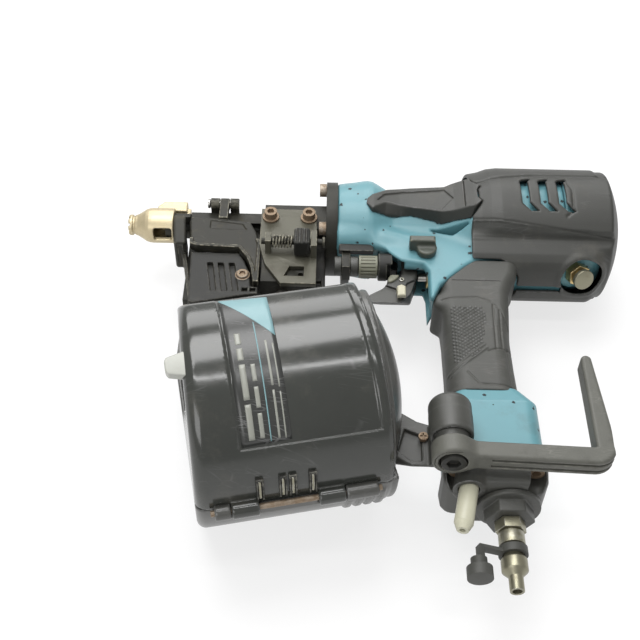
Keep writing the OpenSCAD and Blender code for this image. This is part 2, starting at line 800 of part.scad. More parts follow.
module nail_support() {
    lay() color("#44463f") drum_frame() difference() {
        union() {
            xcyl(9, -14, 20);
            xcyl(support_r, 0, 3);
            for (a = [0 : 60 : 300]) rotate([a, 0, 0]) block(2.9, 12, 8, 26, -1.2, 1.2);
        }
        xcyl(6.4, -20, 30);
        for (a = [30 : 60 : 330]) rotate([a, 0, 0]) translate([0, 30, 0]) xcyl(7, -1, 4);
    }
}

module magazine_stay() {
    lay() color("#222321") difference() {
        union() {
            side([[30, cap_y0 - 0.5], [stay_x1, cap_y0 - 0.5], [stay_x1, cap_mid], [40, cap_mid],
                [28, cap_mid + 8]], -12, 12);
            block(post_x - 9, stay_x1, cap_mid, cap_y0 - 0.5, 11.9, post_z - post_r + 4);
        }
        drum_frame() rotate([0, 90, 0]) rotate_extrude() {
            square([drum_r + 0.1, s1 + 3.5]);
            translate([0, s1 + 2]) square([drum_r - 6 - dome_h, dome_h + 1.1]);
            translate([drum_r - 6 - dome_h, s1 + 3]) circle(dome_h + 0.1);
        }
        translate([post_x, 0, post_z]) ycyl(post_r + seat, -300, 0);
        translate([46.8, cap_y0 - 8, 0]) zcyl(1.6, -5, 20);
    }
}

module stay_screw() {
    lay() color("#6b5d4a") translate([46.8, cap_y0 - 8, 12.1]) difference() {
        union() {
            zcyl(2.6, 0, 2);
            zcyl(1.5, -12, 0.1);
        }
        block(-1.8, 1.8, -0.4, 0.4, 1, 3);
        block(-0.4, 0.4, -1.8, 1.8, 1, 3);
    }
}

module end_cap_gasket() {
    lay() color("#171817") translate([flare_x, 0, 0]) difference() {
        column(flare_hx - 0.6, flare_hz - 0.6, 12, flare_y0 - 0.7, flare_y0 - 0.1);
        column(flare_hx - 10, flare_hz - 8, 8, flare_y0 - 1, 0);
        for (sx = [-1, 1], sz = [-1, 1]) translate([sx * (flare_hx - 6), 0, sz * (flare_hz - 6)])
            ycyl(2.7, flare_y0 - 1, 0);
    }
}

module end_cap() {
    lay() color("#252624") difference() {
        union() {
            translate([flare_x, 0, 0]) column(flare_hx, flare_hz, 12, cap_mid, flare_y0 - 0.8);
            translate([flare_x, 0, 0]) column(flare_hx - 2, flare_hz - 1.5, 11, cap_y1, cap_mid + 0.1);
        }
        translate([flare_x, 0, 0]) column(flare_hx - 10, flare_hz - 8, 8, cap_mid - 6, flare_y0);
        translate([plug_x, 0, 0]) ycyl(10.1, cap_y1 - 1, cap_mid);
        for (sx = [-1, 1], sz = [-1, 1])
            translate([flare_x + sx * (flare_hx - 6), 0, sz * (flare_hz - 6)]) {
            ycyl(2.7, cap_y1 - 1, flare_y0);
            ycyl(5, cap_y1 - 1, cap_mid);
        }
        nozzle_frame() ycyl(5.4, -6, 9);
    }
}

module end_cap_bolts() {
    lay() color("#6b4a30") for (sx = [-1, 1], sz = [-1, 1])
        translate([flare_x + sx * (flare_hx - 6), cap_mid - 0.1, sz * (flare_hz - 6)])
            rotate([90, 0, 0]) socket_screw(2.5, 4.4, 5, 34);
}

module inlet_bushing() {
    lay() color("#2b2c29") translate([plug_x, 0, 0]) difference() {
        union() {
            ycyl(10, cap_y1 - 0.1, cap_y1 + 14);
            ycyl(17, cap_y1 - 3.2, cap_y1 - 0.1);
            translate([0, cap_y1 - 3.1, 0]) rotate([90, 0, 0]) hexagon(23, 0, bush_h - 3.2);
        }
        ycyl(5.1, cap_y1 - 20, cap_y1 + 20);
    }
}

module air_plug() {
    lay() color("#b9bab6") translate([plug_x, 0, 0]) difference() {
        union() {
            ycyl(5, plug_y0 - 0.1, plug_y0 + 12);
            translate([0, plug_y0 - 0.1, 0]) rotate([90, 0, 0]) hexagon(14, 0, 6);
            ycyl(6.8, plug_y0 - 14, plug_y0 - 7.2);
            ycyl(5.2, plug_y0 - 20, plug_y0 - 6);
            ycone(6.8, 5.2, plug_y0 - 22, plug_y0 - 20);
            ycyl(6.8, plug_y0 - 28, plug_y0 - 22);
            ycone(3.75, 6.8, plug_y0 - 31, plug_y0 - 28);
            ycyl(3.75, plug_y1, plug_y0 - 30.9);
        }
        ycyl(2.5, plug_y1 - 1, plug_y0 + 13);
    }
}

module dust_cap() {
    lay() color("#1d1e1d") translate([plug_x, plug_y0, 0]) rotate([0, 20, 0]) difference() {
        union() {
            ycyl(7.6, -19.4, -15.2);
            block(-20, -5.6, -19.4, -17.4, -2.4, 2.4);
            block(-20, -17.6, -32, -17.4, -2.4, 2.4);
            translate([-20, 0, 0]) ycyl(6.6, -36, -30);
            translate([-20, 0, 0]) ycyl(4.2, -30.1, -25);
        }
        ycyl(5.6, -40, 0);
    }
}

module duster_nozzle() {
    lay() color("#8f8c7a") nozzle_frame() difference() {
        union() {
            ycyl(5, -20, 5.5);
            ycone(3.2, 5, -24, -19.9);
        }
        ycyl(1.6, -30, 10);
    }
}

module button_seat() {
    lay() color("#b08d4a") button_frame() difference() {
        union() {
            zcyl(5, -7.8, 1.1);
            hexagon(12.5, 1.1, 7.6);
        }
        zcyl(3.3, -10, 12);
    }
}

module duster_button() {
    lay() color("#c3c4c0") button_frame() union() {
        zcyl(2.9, -4, 10.5);
        zcyl(6.4, 10.4, 13.2);
    }
}

module hook_post() {
    lay() color("#232422") translate([post_x, 0, post_z]) difference() {
        union() {
            ycyl(post_r, post_y0, cap_y0 + 4);
            ycone(post_r, post_r - 2, cap_y0 + 4, cap_y0 + 6.5);
        }
        ycyl(4.2, post_y0 - 1, post_y0 + 20);
    }
}

module hook() {
    lay() color("#262725") translate([post_x, 0, post_z]) difference() {
        union() {
            ycyl(post_r - 0.3, eye_y0, eye_y1);
            block(0, hook_len - 5, eye_y0, eye_y1, -6, 6);
            translate([hook_len - 5, eye_y1 - 5.5, 0]) zcyl(5.5, -6, 6);
            side([[hook_len - 10.5, eye_y1 - 6], [hook_len + 0.5, eye_y1 - 6],
                [hook_len - 1, eye_y1 + hook_leg], [hook_len - 6, eye_y1 + hook_leg + 2],
                [hook_len - 9, eye_y1 + hook_leg - 2]], -6, 6);
        }
        ycyl(4.6, eye_y0 - 1, eye_y1 + 1);
        ycyl(7.4, eye_y0 - 1, eye_y0 + 5.6);
        for (z = [-2.6, 2.6]) block(16, hook_len - 14, eye_y0 - 1, eye_y0 + 1, z - 0.9, z + 0.9);
    }
}

module hook_bolt() {
    lay() color("#4a4034") translate([post_x, eye_y0 + 3.6, post_z]) rotate([90, 0, 0])
        socket_screw(4, 6.4, 4.6, 24);
}

module hook_washer() {
    lay() color("#8d8f8f") translate([post_x, 0, post_z]) difference() {
        ycyl(6.8, eye_y0 + 3.7, eye_y0 + 5.2);
        ycyl(4.1, eye_y0, eye_y0 + 10);
    }
}

body_housing();
handle_frame();
cylinder_head();
rear_cover();
front_shroud();
grip_sleeve();
power_selector();
cylinder_sleeve();
bumper();
piston();
piston_seal();
driver_blade();
head_valve();
head_valve_spring();
nose();
nose_bolts();
contact_tip();
contact_arm();
contact_spring();
push_rod();
dial_sleeve();
depth_dial();
feeder_block();
feeder_plate();
feeder_bolts();
feed_piston();
feed_pawl();
feed_spring();
nail_guide_door();
door_hinge_pin();
latch_knob();
latch_shaft();
latch_spring();
trigger();
trigger_pin();
trigger_arm();
mode_lever();
valve_bushing();
valve_plunger();
valve_spring();
magazine_base();
magazine_cover();
cover_hinge_pin();
support_spindle();
nail_support();
magazine_stay();
stay_screw();
end_cap_gasket();
end_cap();
end_cap_bolts();
inlet_bushing();
air_plug();
dust_cap();
duster_nozzle();
button_seat();
duster_button();
hook_post();
hook();
hook_bolt();
hook_washer();
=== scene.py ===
import functools
import json
import math
import bpy
import bmesh
import numpy as np
from mathutils import Matrix, Vector


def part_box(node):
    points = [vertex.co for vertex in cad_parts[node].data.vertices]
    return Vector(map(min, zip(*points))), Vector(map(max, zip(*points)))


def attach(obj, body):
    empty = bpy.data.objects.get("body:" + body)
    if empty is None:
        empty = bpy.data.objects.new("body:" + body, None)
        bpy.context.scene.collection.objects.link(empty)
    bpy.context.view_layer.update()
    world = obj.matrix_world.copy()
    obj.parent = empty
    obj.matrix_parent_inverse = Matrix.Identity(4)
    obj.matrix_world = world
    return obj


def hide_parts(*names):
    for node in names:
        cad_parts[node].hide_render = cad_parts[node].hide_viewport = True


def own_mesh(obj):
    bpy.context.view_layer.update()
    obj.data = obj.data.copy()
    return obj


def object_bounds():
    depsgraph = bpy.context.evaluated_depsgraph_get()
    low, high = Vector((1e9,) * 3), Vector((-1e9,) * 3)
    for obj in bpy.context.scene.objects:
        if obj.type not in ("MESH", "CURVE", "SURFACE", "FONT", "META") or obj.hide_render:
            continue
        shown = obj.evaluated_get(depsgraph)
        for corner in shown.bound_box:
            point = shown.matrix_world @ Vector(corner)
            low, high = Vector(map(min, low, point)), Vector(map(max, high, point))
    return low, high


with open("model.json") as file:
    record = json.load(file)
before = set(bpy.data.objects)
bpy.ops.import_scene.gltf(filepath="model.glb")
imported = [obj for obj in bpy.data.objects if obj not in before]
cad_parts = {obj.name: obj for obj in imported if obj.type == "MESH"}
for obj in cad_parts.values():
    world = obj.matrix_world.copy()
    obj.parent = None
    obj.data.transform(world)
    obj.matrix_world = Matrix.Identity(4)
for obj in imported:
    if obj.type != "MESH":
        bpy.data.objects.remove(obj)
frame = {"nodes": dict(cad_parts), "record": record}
cad_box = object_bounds()
nodes = frame["nodes"]
scene = bpy.context.scene
scene.view_settings.view_transform = "Standard"

# Places: the tool frame has the drive axis on x and starts at the front of the barrel
MM, DEGREE = 0.001, math.radians(1)


def middle(node):
    return [(a + b) / 2 for a, b in zip(*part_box(node))]


sleeve = middle("cylinder_sleeve")
ORIGIN = Vector((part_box("body_housing")[0].x, sleeve[1], sleeve[2]))
TOOL = Matrix.Translation(ORIGIN) @ Matrix.Diagonal((MM, MM, MM, 1))
DRUM_AT = (-27, -151, 21.5)
DRUM_TILT = math.radians(12)
DRUM = TOOL @ Matrix.Translation(DRUM_AT) @ Matrix.Rotation(DRUM_TILT, 4, "Z")
BUTTON_AT = (147.2, -35.6, 3.7)
BUTTON_AXIS = (0.3000, -0.9019, 0.3107)
GRIP_X, FLARE_X = 82.5, 83.5
POST = (59.0, 33.0)
DOME = 0.0066
DIAL_AT = (-40.5, 8)


# Camera, floor and light
CAMERA_AT = (-9.6, -500.2, 486.1)
CAMERA_TILT, CAMERA_ROLL = 41, 1.3
FOCAL_LENGTH, SENSOR_WIDTH = 60.64, 36
FLOOR_SPAN, FLOOR_DROP = 6.0, 0.0004
FLOOR_GLOW, SKY_LIGHT = 0.72, 0.5
WHITE, PAPER = (1, 1, 1, 1), (0.86, 0.86, 0.86, 1)
LAMPS = (
    ("high_key", (-0.15, 0.30, 1.05), (0, 0, 0.03), (0.8, 0.5), 9),
    ("back_soft", (-0.10, 1.05, 0.80), (0, 0, 0.05), (1.5, 0.5), 10),
    ("front_fill", (-0.5, -1.0, 0.75), (0, 0, 0.04), (0.8, 0.6), 5),
    ("streak", (0.0, -0.23, 1.10), (0, -0.05, 0.06), (0.9, 0.05), 2.5),
)


def camera():
    tilt, roll = math.radians(CAMERA_TILT), math.radians(CAMERA_ROLL)
    lifted = Vector((0, math.cos(tilt), math.sin(tilt)))
    right = Vector((1, 0, 0)) * math.cos(roll) + lifted * math.sin(roll)
    up = lifted * math.cos(roll) - Vector((1, 0, 0)) * math.sin(roll)
    away = right.cross(up)
    lens = bpy.data.cameras.new("camera")
    lens.lens, lens.sensor_width, lens.sensor_fit = FOCAL_LENGTH, SENSOR_WIDTH, "HORIZONTAL"
    lens.clip_start, lens.clip_end = 0.01, 20
    eye = bpy.data.objects.new("camera", lens)
    scene.collection.objects.link(eye)
    place = Matrix((right, up, away)).transposed().to_4x4()
    place.translation = ORIGIN + Vector(CAMERA_AT) * MM
    eye.matrix_world = place
    scene.camera = eye


def lamp(name, at, aim, size, power):
    light = bpy.data.lights.new(name, "AREA")
    light.shape, light.energy = "RECTANGLE", power
    light.size, light.size_y = size
    holder = bpy.data.objects.new(name, light)
    scene.collection.objects.link(holder)
    holder.location = at
    holder.rotation_euler = (Vector(aim) - Vector(at)).to_track_quat("-Z", "Y").to_euler()


def fed(tree, socket, value):
    if isinstance(value, bpy.types.NodeSocket):
        tree.links.new(value, socket)
    else:
        socket.default_value = value


# Inputs are given by name, or by place as i0, i1 and i2
def add(tree, kind, settings=None, **inputs):
    node = tree.nodes.new(kind)
    for key, value in (settings or {}).items():
        setattr(node, key, value)
    for key, value in inputs.items():
        numbered = key[0] == "i" and key[1:].isdigit()
        fed(tree, node.inputs[int(key[1:]) if numbered else key.replace("_", " ")], value)
    return node


def seen_by(tree, first, second):
    path = add(tree, "ShaderNodeLightPath").outputs
    return add(tree, "ShaderNodeMath", {"operation": "MAXIMUM"}, i0=path[first], i1=path[second]).outputs[0]


def studio():
    world = bpy.data.worlds.new("studio")
    world.use_nodes = True
    scene.world = world
    tree = world.node_tree
    tree.nodes.clear()
    seen = seen_by(tree, "Is Camera Ray", "Is Transmission Ray")
    level = add(tree, "ShaderNodeMapRange", None, Value=seen, To_Min=SKY_LIGHT, To_Max=1.0)
    sky = add(tree, "ShaderNodeBackground", None, Color=WHITE, Strength=level.outputs[0])
    add(tree, "ShaderNodeOutputWorld", None, Surface=sky.outputs[0])

    floor = bpy.data.meshes.new("floor")
    corners = [(u * FLOOR_SPAN, v * FLOOR_SPAN, 0) for u, v in ((-1, -1), (1, -1), (1, 1), (-1, 1))]
    floor.from_pydata(corners, [], [(0, 1, 2, 3)])
    ground = bpy.data.objects.new("floor", floor)
    ground.location.z = cad_box[0].z - FLOOR_DROP
    scene.collection.objects.link(ground)
    paper = bpy.data.materials.new("white_paper")
    paper.use_nodes = True
    tree = paper.node_tree
    tree.nodes.clear()
    seen = seen_by(tree, "Is Camera Ray", "Is Glossy Ray")
    share = add(tree, "ShaderNodeMath", {"operation": "MULTIPLY"}, i0=seen, i1=FLOOR_GLOW).outputs[0]
    matte = add(tree, "ShaderNodeBsdfDiffuse", None, Color=PAPER).outputs[0]
    glow = add(tree, "ShaderNodeEmission", None, Color=WHITE, Strength=1.0).outputs[0]
    mix = add(tree, "ShaderNodeMixShader", None, i0=share, i1=matte, i2=glow)
    add(tree, "ShaderNodeOutputMaterial", None, Surface=mix.outputs[0])
    floor.materials.append(paper)


camera()
studio()
for row in LAMPS:
    lamp(*row)


# Solid shapes as signed distances in mm
def within(v, low, high):
    return np.maximum(low - v, v - high)


def soft_max(a, b, k):
    d = np.maximum(k - np.abs(a - b), 0)
    return np.maximum(a, b) + d * d / (4 * k)


def soft_min(a, b, k):
    return -soft_max(-a, -b, k)


def cut(body, gone, k=0):
    return soft_max(body, -gone, k) if k else np.maximum(body, -gone)


def both(*parts):
    return functools.reduce(np.maximum, parts)


def either(*parts):
    return functools.reduce(np.minimum, parts)


def ramp(v, low, high):
    t = np.clip((v - low) / (high - low), 0, 1)
    return t * t * (3 - 2 * t)


def along(v, pairs):
    return np.interp(v, [p[0] for p in pairs], [p[1] for p in pairs])


# Distance to a closed outline, negative inside
def outline(u, v, pts):
    far = np.full(np.broadcast(u, v).shape, 1e9)
    turn = np.ones(far.shape)
    for (ax, ay), (bx, by) in zip(pts, pts[-1:] + pts[:-1]):
        ex, ey = bx - ax, by - ay
        wx, wy = u - ax, v - ay
        t = np.clip((wx * ex + wy * ey) / (ex * ex + ey * ey), 0, 1)
        far = np.minimum(far, (wx - ex * t) ** 2 + (wy - ey * t) ** 2)
        low, high, side = v >= ay, v < by, ex * wy > ey * wx
        turn = np.where((low & high & side) | (~low & ~high & ~side), -turn, turn)
    return turn * np.sqrt(far)


# What two shapes have in common, with the edge where they meet rounded by r
def rounded(a, b, r):
    a, b = a + r, b + r
    return np.minimum(np.maximum(a, b), 0) + np.hypot(np.maximum(a, 0), np.maximum(b, 0)) - r


def plate(u, v, w, pts, low, high, r=0.8):
    return rounded(outline(u, v, pts), within(w, low, high), r)


def rod(u, v, w, cu, cv, radius, low, high, r=0.8):
    return rounded(np.hypot(u - cu, v - cv) - radius, within(w, low, high), r)


def post_shape(u, v, hu, hv, r):
    return rounded(np.abs(u) - hu, np.abs(v) - hv, r)


def line_gap(u, v, pts):
    far = 1e9
    for (ax, ay), (bx, by) in zip(pts, pts[1:]):
        ex, ey = bx - ax, by - ay
        t = np.clip(((u - ax) * ex + (v - ay) * ey) / (ex * ex + ey * ey), 0, 1)
        far = np.minimum(far, np.hypot(u - ax - ex * t, v - ay - ey * t))
    return far


# Share of a cell at which the slope is felt, most of a cell that a point may move, and rounds of moving
FEEL, MOST_MOVE, ROUNDS = 0.1, 0.6, 2


# One point in each cell that the surface crosses, then moved along the slope onto the surface
def skin(field, low, high, step):
    counts = [int(math.ceil((h - l) / step)) + 1 for l, h in zip(low, high)]
    marks = [l + step * np.arange(n) for l, n in zip(low, counts)]
    grid = np.meshgrid(*marks, indexing="ij", sparse=True)
    value = np.array(np.broadcast_to(field(*grid), counts), dtype=np.float32)
    for axis in range(3):
        for end in (0, -1):
            rim = tuple(end if k == axis else slice(None) for k in range(3))
            value[rim] = np.maximum(value[rim], 0.5 * step)
    stride = np.array(((counts[1] - 1) * (counts[2] - 1), counts[2] - 1, 1))
    owners, spots, quads = [], [], []
    for axis in range(3):
        b, c = (axis + 1) % 3, (axis + 2) % 3
        here, there = (value[tuple(part if k == axis else slice(None) for k in range(3))]
                       for part in (slice(0, -1), slice(1, None)))
        at = np.argwhere((here < 0) != (there < 0))
        fa, fb = here[tuple(at.T)], there[tuple(at.T)]
        spot = at.astype(float)
        spot[:, axis] += fa / (fa - fb)
        ring = []
        for db, dc in ((0, 0), (-1, 0), (-1, -1), (0, -1)):
            cell = at.copy()
            cell[:, b] += db
            cell[:, c] += dc
            ring.append(cell @ stride)
            owners.append(ring[-1])
            spots.append(spot)
        ring = np.stack(ring, 1)
        ring[fa > 0] = ring[fa > 0][:, ::-1]
        quads.append(ring)
    cells, back = np.unique(np.concatenate(owners), return_inverse=True)
    spots = np.concatenate(spots)
    share = np.bincount(back)[:, None]
    total = np.stack([np.bincount(back, spots[:, k]) for k in range(3)], 1)
    points = total / share * step + np.array(low)
    h = FEEL * step
    for _ in range(ROUNDS):
        x, y, z = points.T
        value = field(x, y, z)
        slope = np.stack([field(x + i, y + j, z + k) - field(x - i, y - j, z - k)
                          for i, j, k in ((h, 0, 0), (0, h, 0), (0, 0, h))], 1) / (2 * h)
        move = slope * (value / np.maximum((slope ** 2).sum(1), 0.1))[:, None]
        size = np.linalg.norm(move, axis=1, keepdims=True)
        points = points - move * np.minimum(1, MOST_MOVE * step / np.maximum(size, 1e-9))
    return points, np.searchsorted(cells, np.concatenate(quads))


# Pieces
MERGE_GAP, FLAT_ANGLE = 1e-6, 0.4
BEVEL_ROWS, BEVEL_ANGLE, BEVEL_PROFILE, SHARP_ANGLE = 2, 32, 0.6, 50
EDGE_FROM, EDGE_RANGE = 0.32, 0.5
NARROW_FACE = 0.55
CAD_REACH = 0.6


def link(name, mesh):
    obj = bpy.data.objects.new(name, mesh)
    scene.collection.objects.link(obj)
    return obj


def made(name, points, faces, place=TOOL):
    mesh = bpy.data.meshes.new(name)
    mesh.from_pydata([tuple(p) for p in points], [], [tuple(f) for f in faces])
    mesh.transform(place)
    mesh.shade_smooth()
    return link(name, mesh)


def grown(name, field, low, high, step, place=TOOL):
    points, faces = skin(field, low, high, step)
    return made(name, points.tolist(), faces.tolist(), place)


def baked(obj):
    bpy.context.view_layer.update()
    held = obj.evaluated_get(bpy.context.evaluated_depsgraph_get())
    mesh = bpy.data.meshes.new_from_object(held)
    obj.modifiers.clear()
    old, obj.data = obj.data, mesh
    bpy.data.meshes.remove(old)
    return obj


# A copy of a construction solid with merged points, whole flat faces and bevelled edges
def refined(node, width, clamp=True):
    mesh = nodes[node].data.copy()
    mesh.materials.clear()
    shape = bmesh.new()
    shape.from_mesh(mesh)
    bmesh.ops.remove_doubles(shape, verts=shape.verts, dist=MERGE_GAP)
    flat = math.radians(FLAT_ANGLE)
    bmesh.ops.dissolve_limit(shape, angle_limit=flat, verts=shape.verts, edges=shape.edges)
    shape.to_mesh(mesh)
    shape.free()
    obj = link(node + "_finished", mesh)
    bevel = obj.modifiers.new("bevel", "BEVEL")
    bevel.width, bevel.segments, bevel.limit_method = width * MM, BEVEL_ROWS, "ANGLE"
    bevel.angle_limit, bevel.use_clamp_overlap = math.radians(BEVEL_ANGLE), clamp
    bevel.profile, bevel.miter_outer = BEVEL_PROFILE, "MITER_ARC"
    baked(obj)
    obj.data.shade_smooth()
    obj.data.set_sharp_from_angle(angle=math.radians(SHARP_ANGLE))
    return obj


def pulled(source, label, count, kind=np.float32):
    values = np.empty(count, kind)
    source.foreach_get(label, values)
    return values


# Marks bends as attributes, by point on grown pieces and by narrow face on copies of the solids
def mark_edges(obj, reach):
    mesh = obj.data
    n = len(mesh.vertices)
    spot = pulled(mesh.vertices, "co", n * 3).reshape(-1, 3) / MM
    normal = pulled(mesh.vertices, "normal", n * 3).reshape(-1, 3)
    pair = pulled(mesh.edges, "vertices", len(mesh.edges) * 2, np.int32).reshape(-1, 2)
    run = spot[pair[:, 1]] - spot[pair[:, 0]]
    turn = ((normal[pair[:, 1]] - normal[pair[:, 0]]) * run).sum(1) / np.maximum((run ** 2).sum(1), 0.01)
    bend = np.zeros(n)
    count = np.zeros(n)
    for k in (0, 1):
        bend += np.bincount(pair[:, k], turn, n)
        count += np.bincount(pair[:, k], None, n)
    bend = bend / np.maximum(count, 1) * reach
    faces = len(mesh.polygons)
    start = pulled(mesh.polygons, "loop_start", faces, np.int32)
    area = pulled(mesh.polygons, "area", faces)
    corner = pulled(mesh.loops, "vertex_index", len(mesh.loops), np.int32)
    after = np.roll(corner, -1)
    ends = np.append(start[1:], len(corner)) - 1
    after[ends] = corner[start]
    longest = np.maximum.reduceat(np.linalg.norm(spot[after] - spot[corner], axis=1), start)
    narrow = area / MM ** 2 / np.maximum(longest, 0.01) < NARROW_FACE
    for label, sign in (("edge", 1), ("hollow", -1)):
        value = np.clip((sign * bend - EDGE_FROM) / EDGE_RANGE, 0, 1)
        if reach < 1:
            value = np.minimum.reduceat(value[corner], start) * narrow
        mark = mesh.attributes.new(label, "FLOAT", "POINT" if reach >= 1 else "FACE")
        mark.data.foreach_set("value", value.astype(np.float32))


def dressed(obj, finish, slot, body, *stands_for, reach=1.0):
    obj.data.materials.clear()
    obj.data.materials.append(finish)
    mark_edges(obj, reach)
    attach(obj, body)
    if stands_for:
        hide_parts(*stands_for)
    return obj


# A row gives name, shape, low and high corner, cell size, finish, slot, body and what it stands for
def lay_out(rows, place=TOOL):
    for name, field, low, high, step, *rest in rows:
        dressed(grown(name, field, low, high, step, place), *rest)


# Surface effects shared by the finishes
def effect(name, ins, outs):
    tree = bpy.data.node_groups.new(name, "ShaderNodeTree")
    for label, kind, value in ins:
        socket = tree.interface.new_socket(name=label, in_out="INPUT", socket_type="NodeSocket" + kind)
        socket.default_value = value
    for label, kind in outs:
        tree.interface.new_socket(name=label, in_out="OUTPUT", socket_type="NodeSocket" + kind)
    return tree, tree.nodes.new("NodeGroupInput").outputs, tree.nodes.new("NodeGroupOutput").inputs


def object_place(tree):
    return add(tree, "ShaderNodeTexCoord").outputs["Object"]


def noise(tree, scale, detail=4.0, rough=0.6):
    return add(tree, "ShaderNodeTexNoise", None, Vector=object_place(tree), Scale=scale, Detail=detail,
               Roughness=rough).outputs["Fac"]


def scaled_sum(tree, a, b, c, **settings):
    kinds = {"operation": "MULTIPLY_ADD", **settings}
    return add(tree, "ShaderNodeMath", kinds, i0=a, i1=b, i2=c).outputs[0]


def sums(tree, kind, a, b):
    settings = {"operation": kind, "use_clamp": kind != "SUBTRACT"}
    return add(tree, "ShaderNodeMath", settings, i0=a, i1=b).outputs[0]


def spread(tree, value, low, high, start=0.0, stop=1.0):
    return add(tree, "ShaderNodeMapRange", {"interpolation_type": "SMOOTHSTEP"}, Value=value,
        From_Min=low, From_Max=high, To_Min=start, To_Max=stop).outputs[0]


def blended(tree, share, a, b):
    mix = tree.nodes.new("ShaderNodeMix")
    mix.data_type = "RGBA"
    for socket, value in zip([s for s in mix.inputs if s.enabled], (share, a, b)):
        fed(tree, socket, value)
    return [s for s in mix.outputs if s.enabled][0]


COLOUR_AND_MASK = (("Color", "Color"), ("Mask", "Float"))


def drift_effect():
    tree, ins, outs = effect("uneven_colour", (("Color", "Color", WHITE), ("Scale", "Float", 40),
                                               ("Amount", "Float", 0.2)), COLOUR_AND_MASK)
    fine = noise(tree, ins["Scale"], 6.0, 0.65)
    level = scaled_sum(tree, sums(tree, "SUBTRACT", fine, 0.5), ins["Amount"], 1.0)
    tinted = add(tree, "ShaderNodeVectorMath", {"operation": "SCALE"}, i0=ins["Color"], Scale=level)
    tree.links.new(tinted.outputs[0], outs["Color"])
    tree.links.new(fine, outs["Mask"])
    return tree


def edge_marks(tree, scale):
    rim = add(tree, "ShaderNodeAttribute", {"attribute_name": "edge"}).outputs["Fac"]
    return sums(tree, "MULTIPLY", rim, spread(tree, noise(tree, scale, 5.0, 0.7), 0.38, 0.62))


def grime_marks(tree, scale):
    pit = add(tree, "ShaderNodeAttribute", {"attribute_name": "hollow"}).outputs["Fac"]
    return sums(tree, "MAXIMUM", pit, spread(tree, noise(tree, scale, 7.0, 0.7), 0.52, 0.78))


def scuff_marks(tree, scale):
    lines = []
    for turn, stretch, part in (((0.3, 0.2, 0.5), (1, 9, 2), 0.0), ((0.9, -0.4, 2.1), (1, 7, 2), 3.7)):
        laid = add(tree, "ShaderNodeMapping", None, Vector=object_place(tree), Location=(part, part, 0),
                   Rotation=turn, Scale=stretch).outputs[0]
        web = add(tree, "ShaderNodeTexVoronoi", {"feature": "DISTANCE_TO_EDGE"}, Vector=laid, Scale=scale)
        lines.append(spread(tree, web.outputs["Distance"], 0.0, 0.035, 1.0, 0.0))
    broken = spread(tree, noise(tree, 55.0, 3.0), 0.5, 0.68)
    return sums(tree, "MULTIPLY", sums(tree, "MAXIMUM", *lines), broken)


def chip_marks(tree, scale):
    place = object_place(tree)
    wobble = add(tree, "ShaderNodeTexNoise", None, Vector=place, Scale=900.0, Detail=2.0).outputs["Color"]
    laid = add(tree, "ShaderNodeVectorMath", {"operation": "MULTIPLY_ADD"}, i0=wobble,
               i1=(0.0018, 0.0018, 0.0018), i2=place).outputs[0]
    spots = add(tree, "ShaderNodeTexVoronoi", None, Vector=laid, Scale=scale)
    pick = add(tree, "ShaderNodeSeparateColor", None, Color=spots.outputs["Color"])
    size = spread(tree, pick.outputs[0], 0.36, 1.0, 0.0, 0.25)
    return sums(tree, "LESS_THAN", spots.outputs["Distance"], size)


def mark_effect(name, marks):
    tree, ins, outs = effect(name, (("Color", "Color", WHITE), ("Mark Color", "Color", WHITE),
                                    ("Amount", "Float", 0.5), ("Scale", "Float", 60)), COLOUR_AND_MASK)
    mask = sums(tree, "MULTIPLY", marks(tree, ins["Scale"]), ins["Amount"])
    tree.links.new(blended(tree, mask, ins["Color"], ins["Mark Color"]), outs["Color"])
    tree.links.new(mask, outs["Mask"])
    return tree


def grain_effect():
    tree, ins, outs = effect("moulded_grain", (("Scale", "Float", 900), ("Pits", "Float", 0.5)),
                             (("Height", "Float"),))
    fine = noise(tree, ins["Scale"], 3.0, 0.6)
    cells = add(tree, "ShaderNodeTexVoronoi", None, Vector=object_place(tree), Scale=ins["Scale"])
    tree.links.new(scaled_sum(tree, cells.outputs["Distance"], ins["Pits"], fine), outs["Height"])
    return tree


EFFECTS = {"drift": drift_effect(), "worn": mark_effect("worn_edges", edge_marks),
    "grime": mark_effect("settled_grime", grime_marks), "scuff": mark_effect("scuff_lines", scuff_marks),
    "chips": mark_effect("paint_chips", chip_marks), "grain": grain_effect()}


def shade(value):
    return (*value, 1.0) if isinstance(value, tuple) else (value, value, value, 1.0)


COAT_ROUGHNESS = 0.12


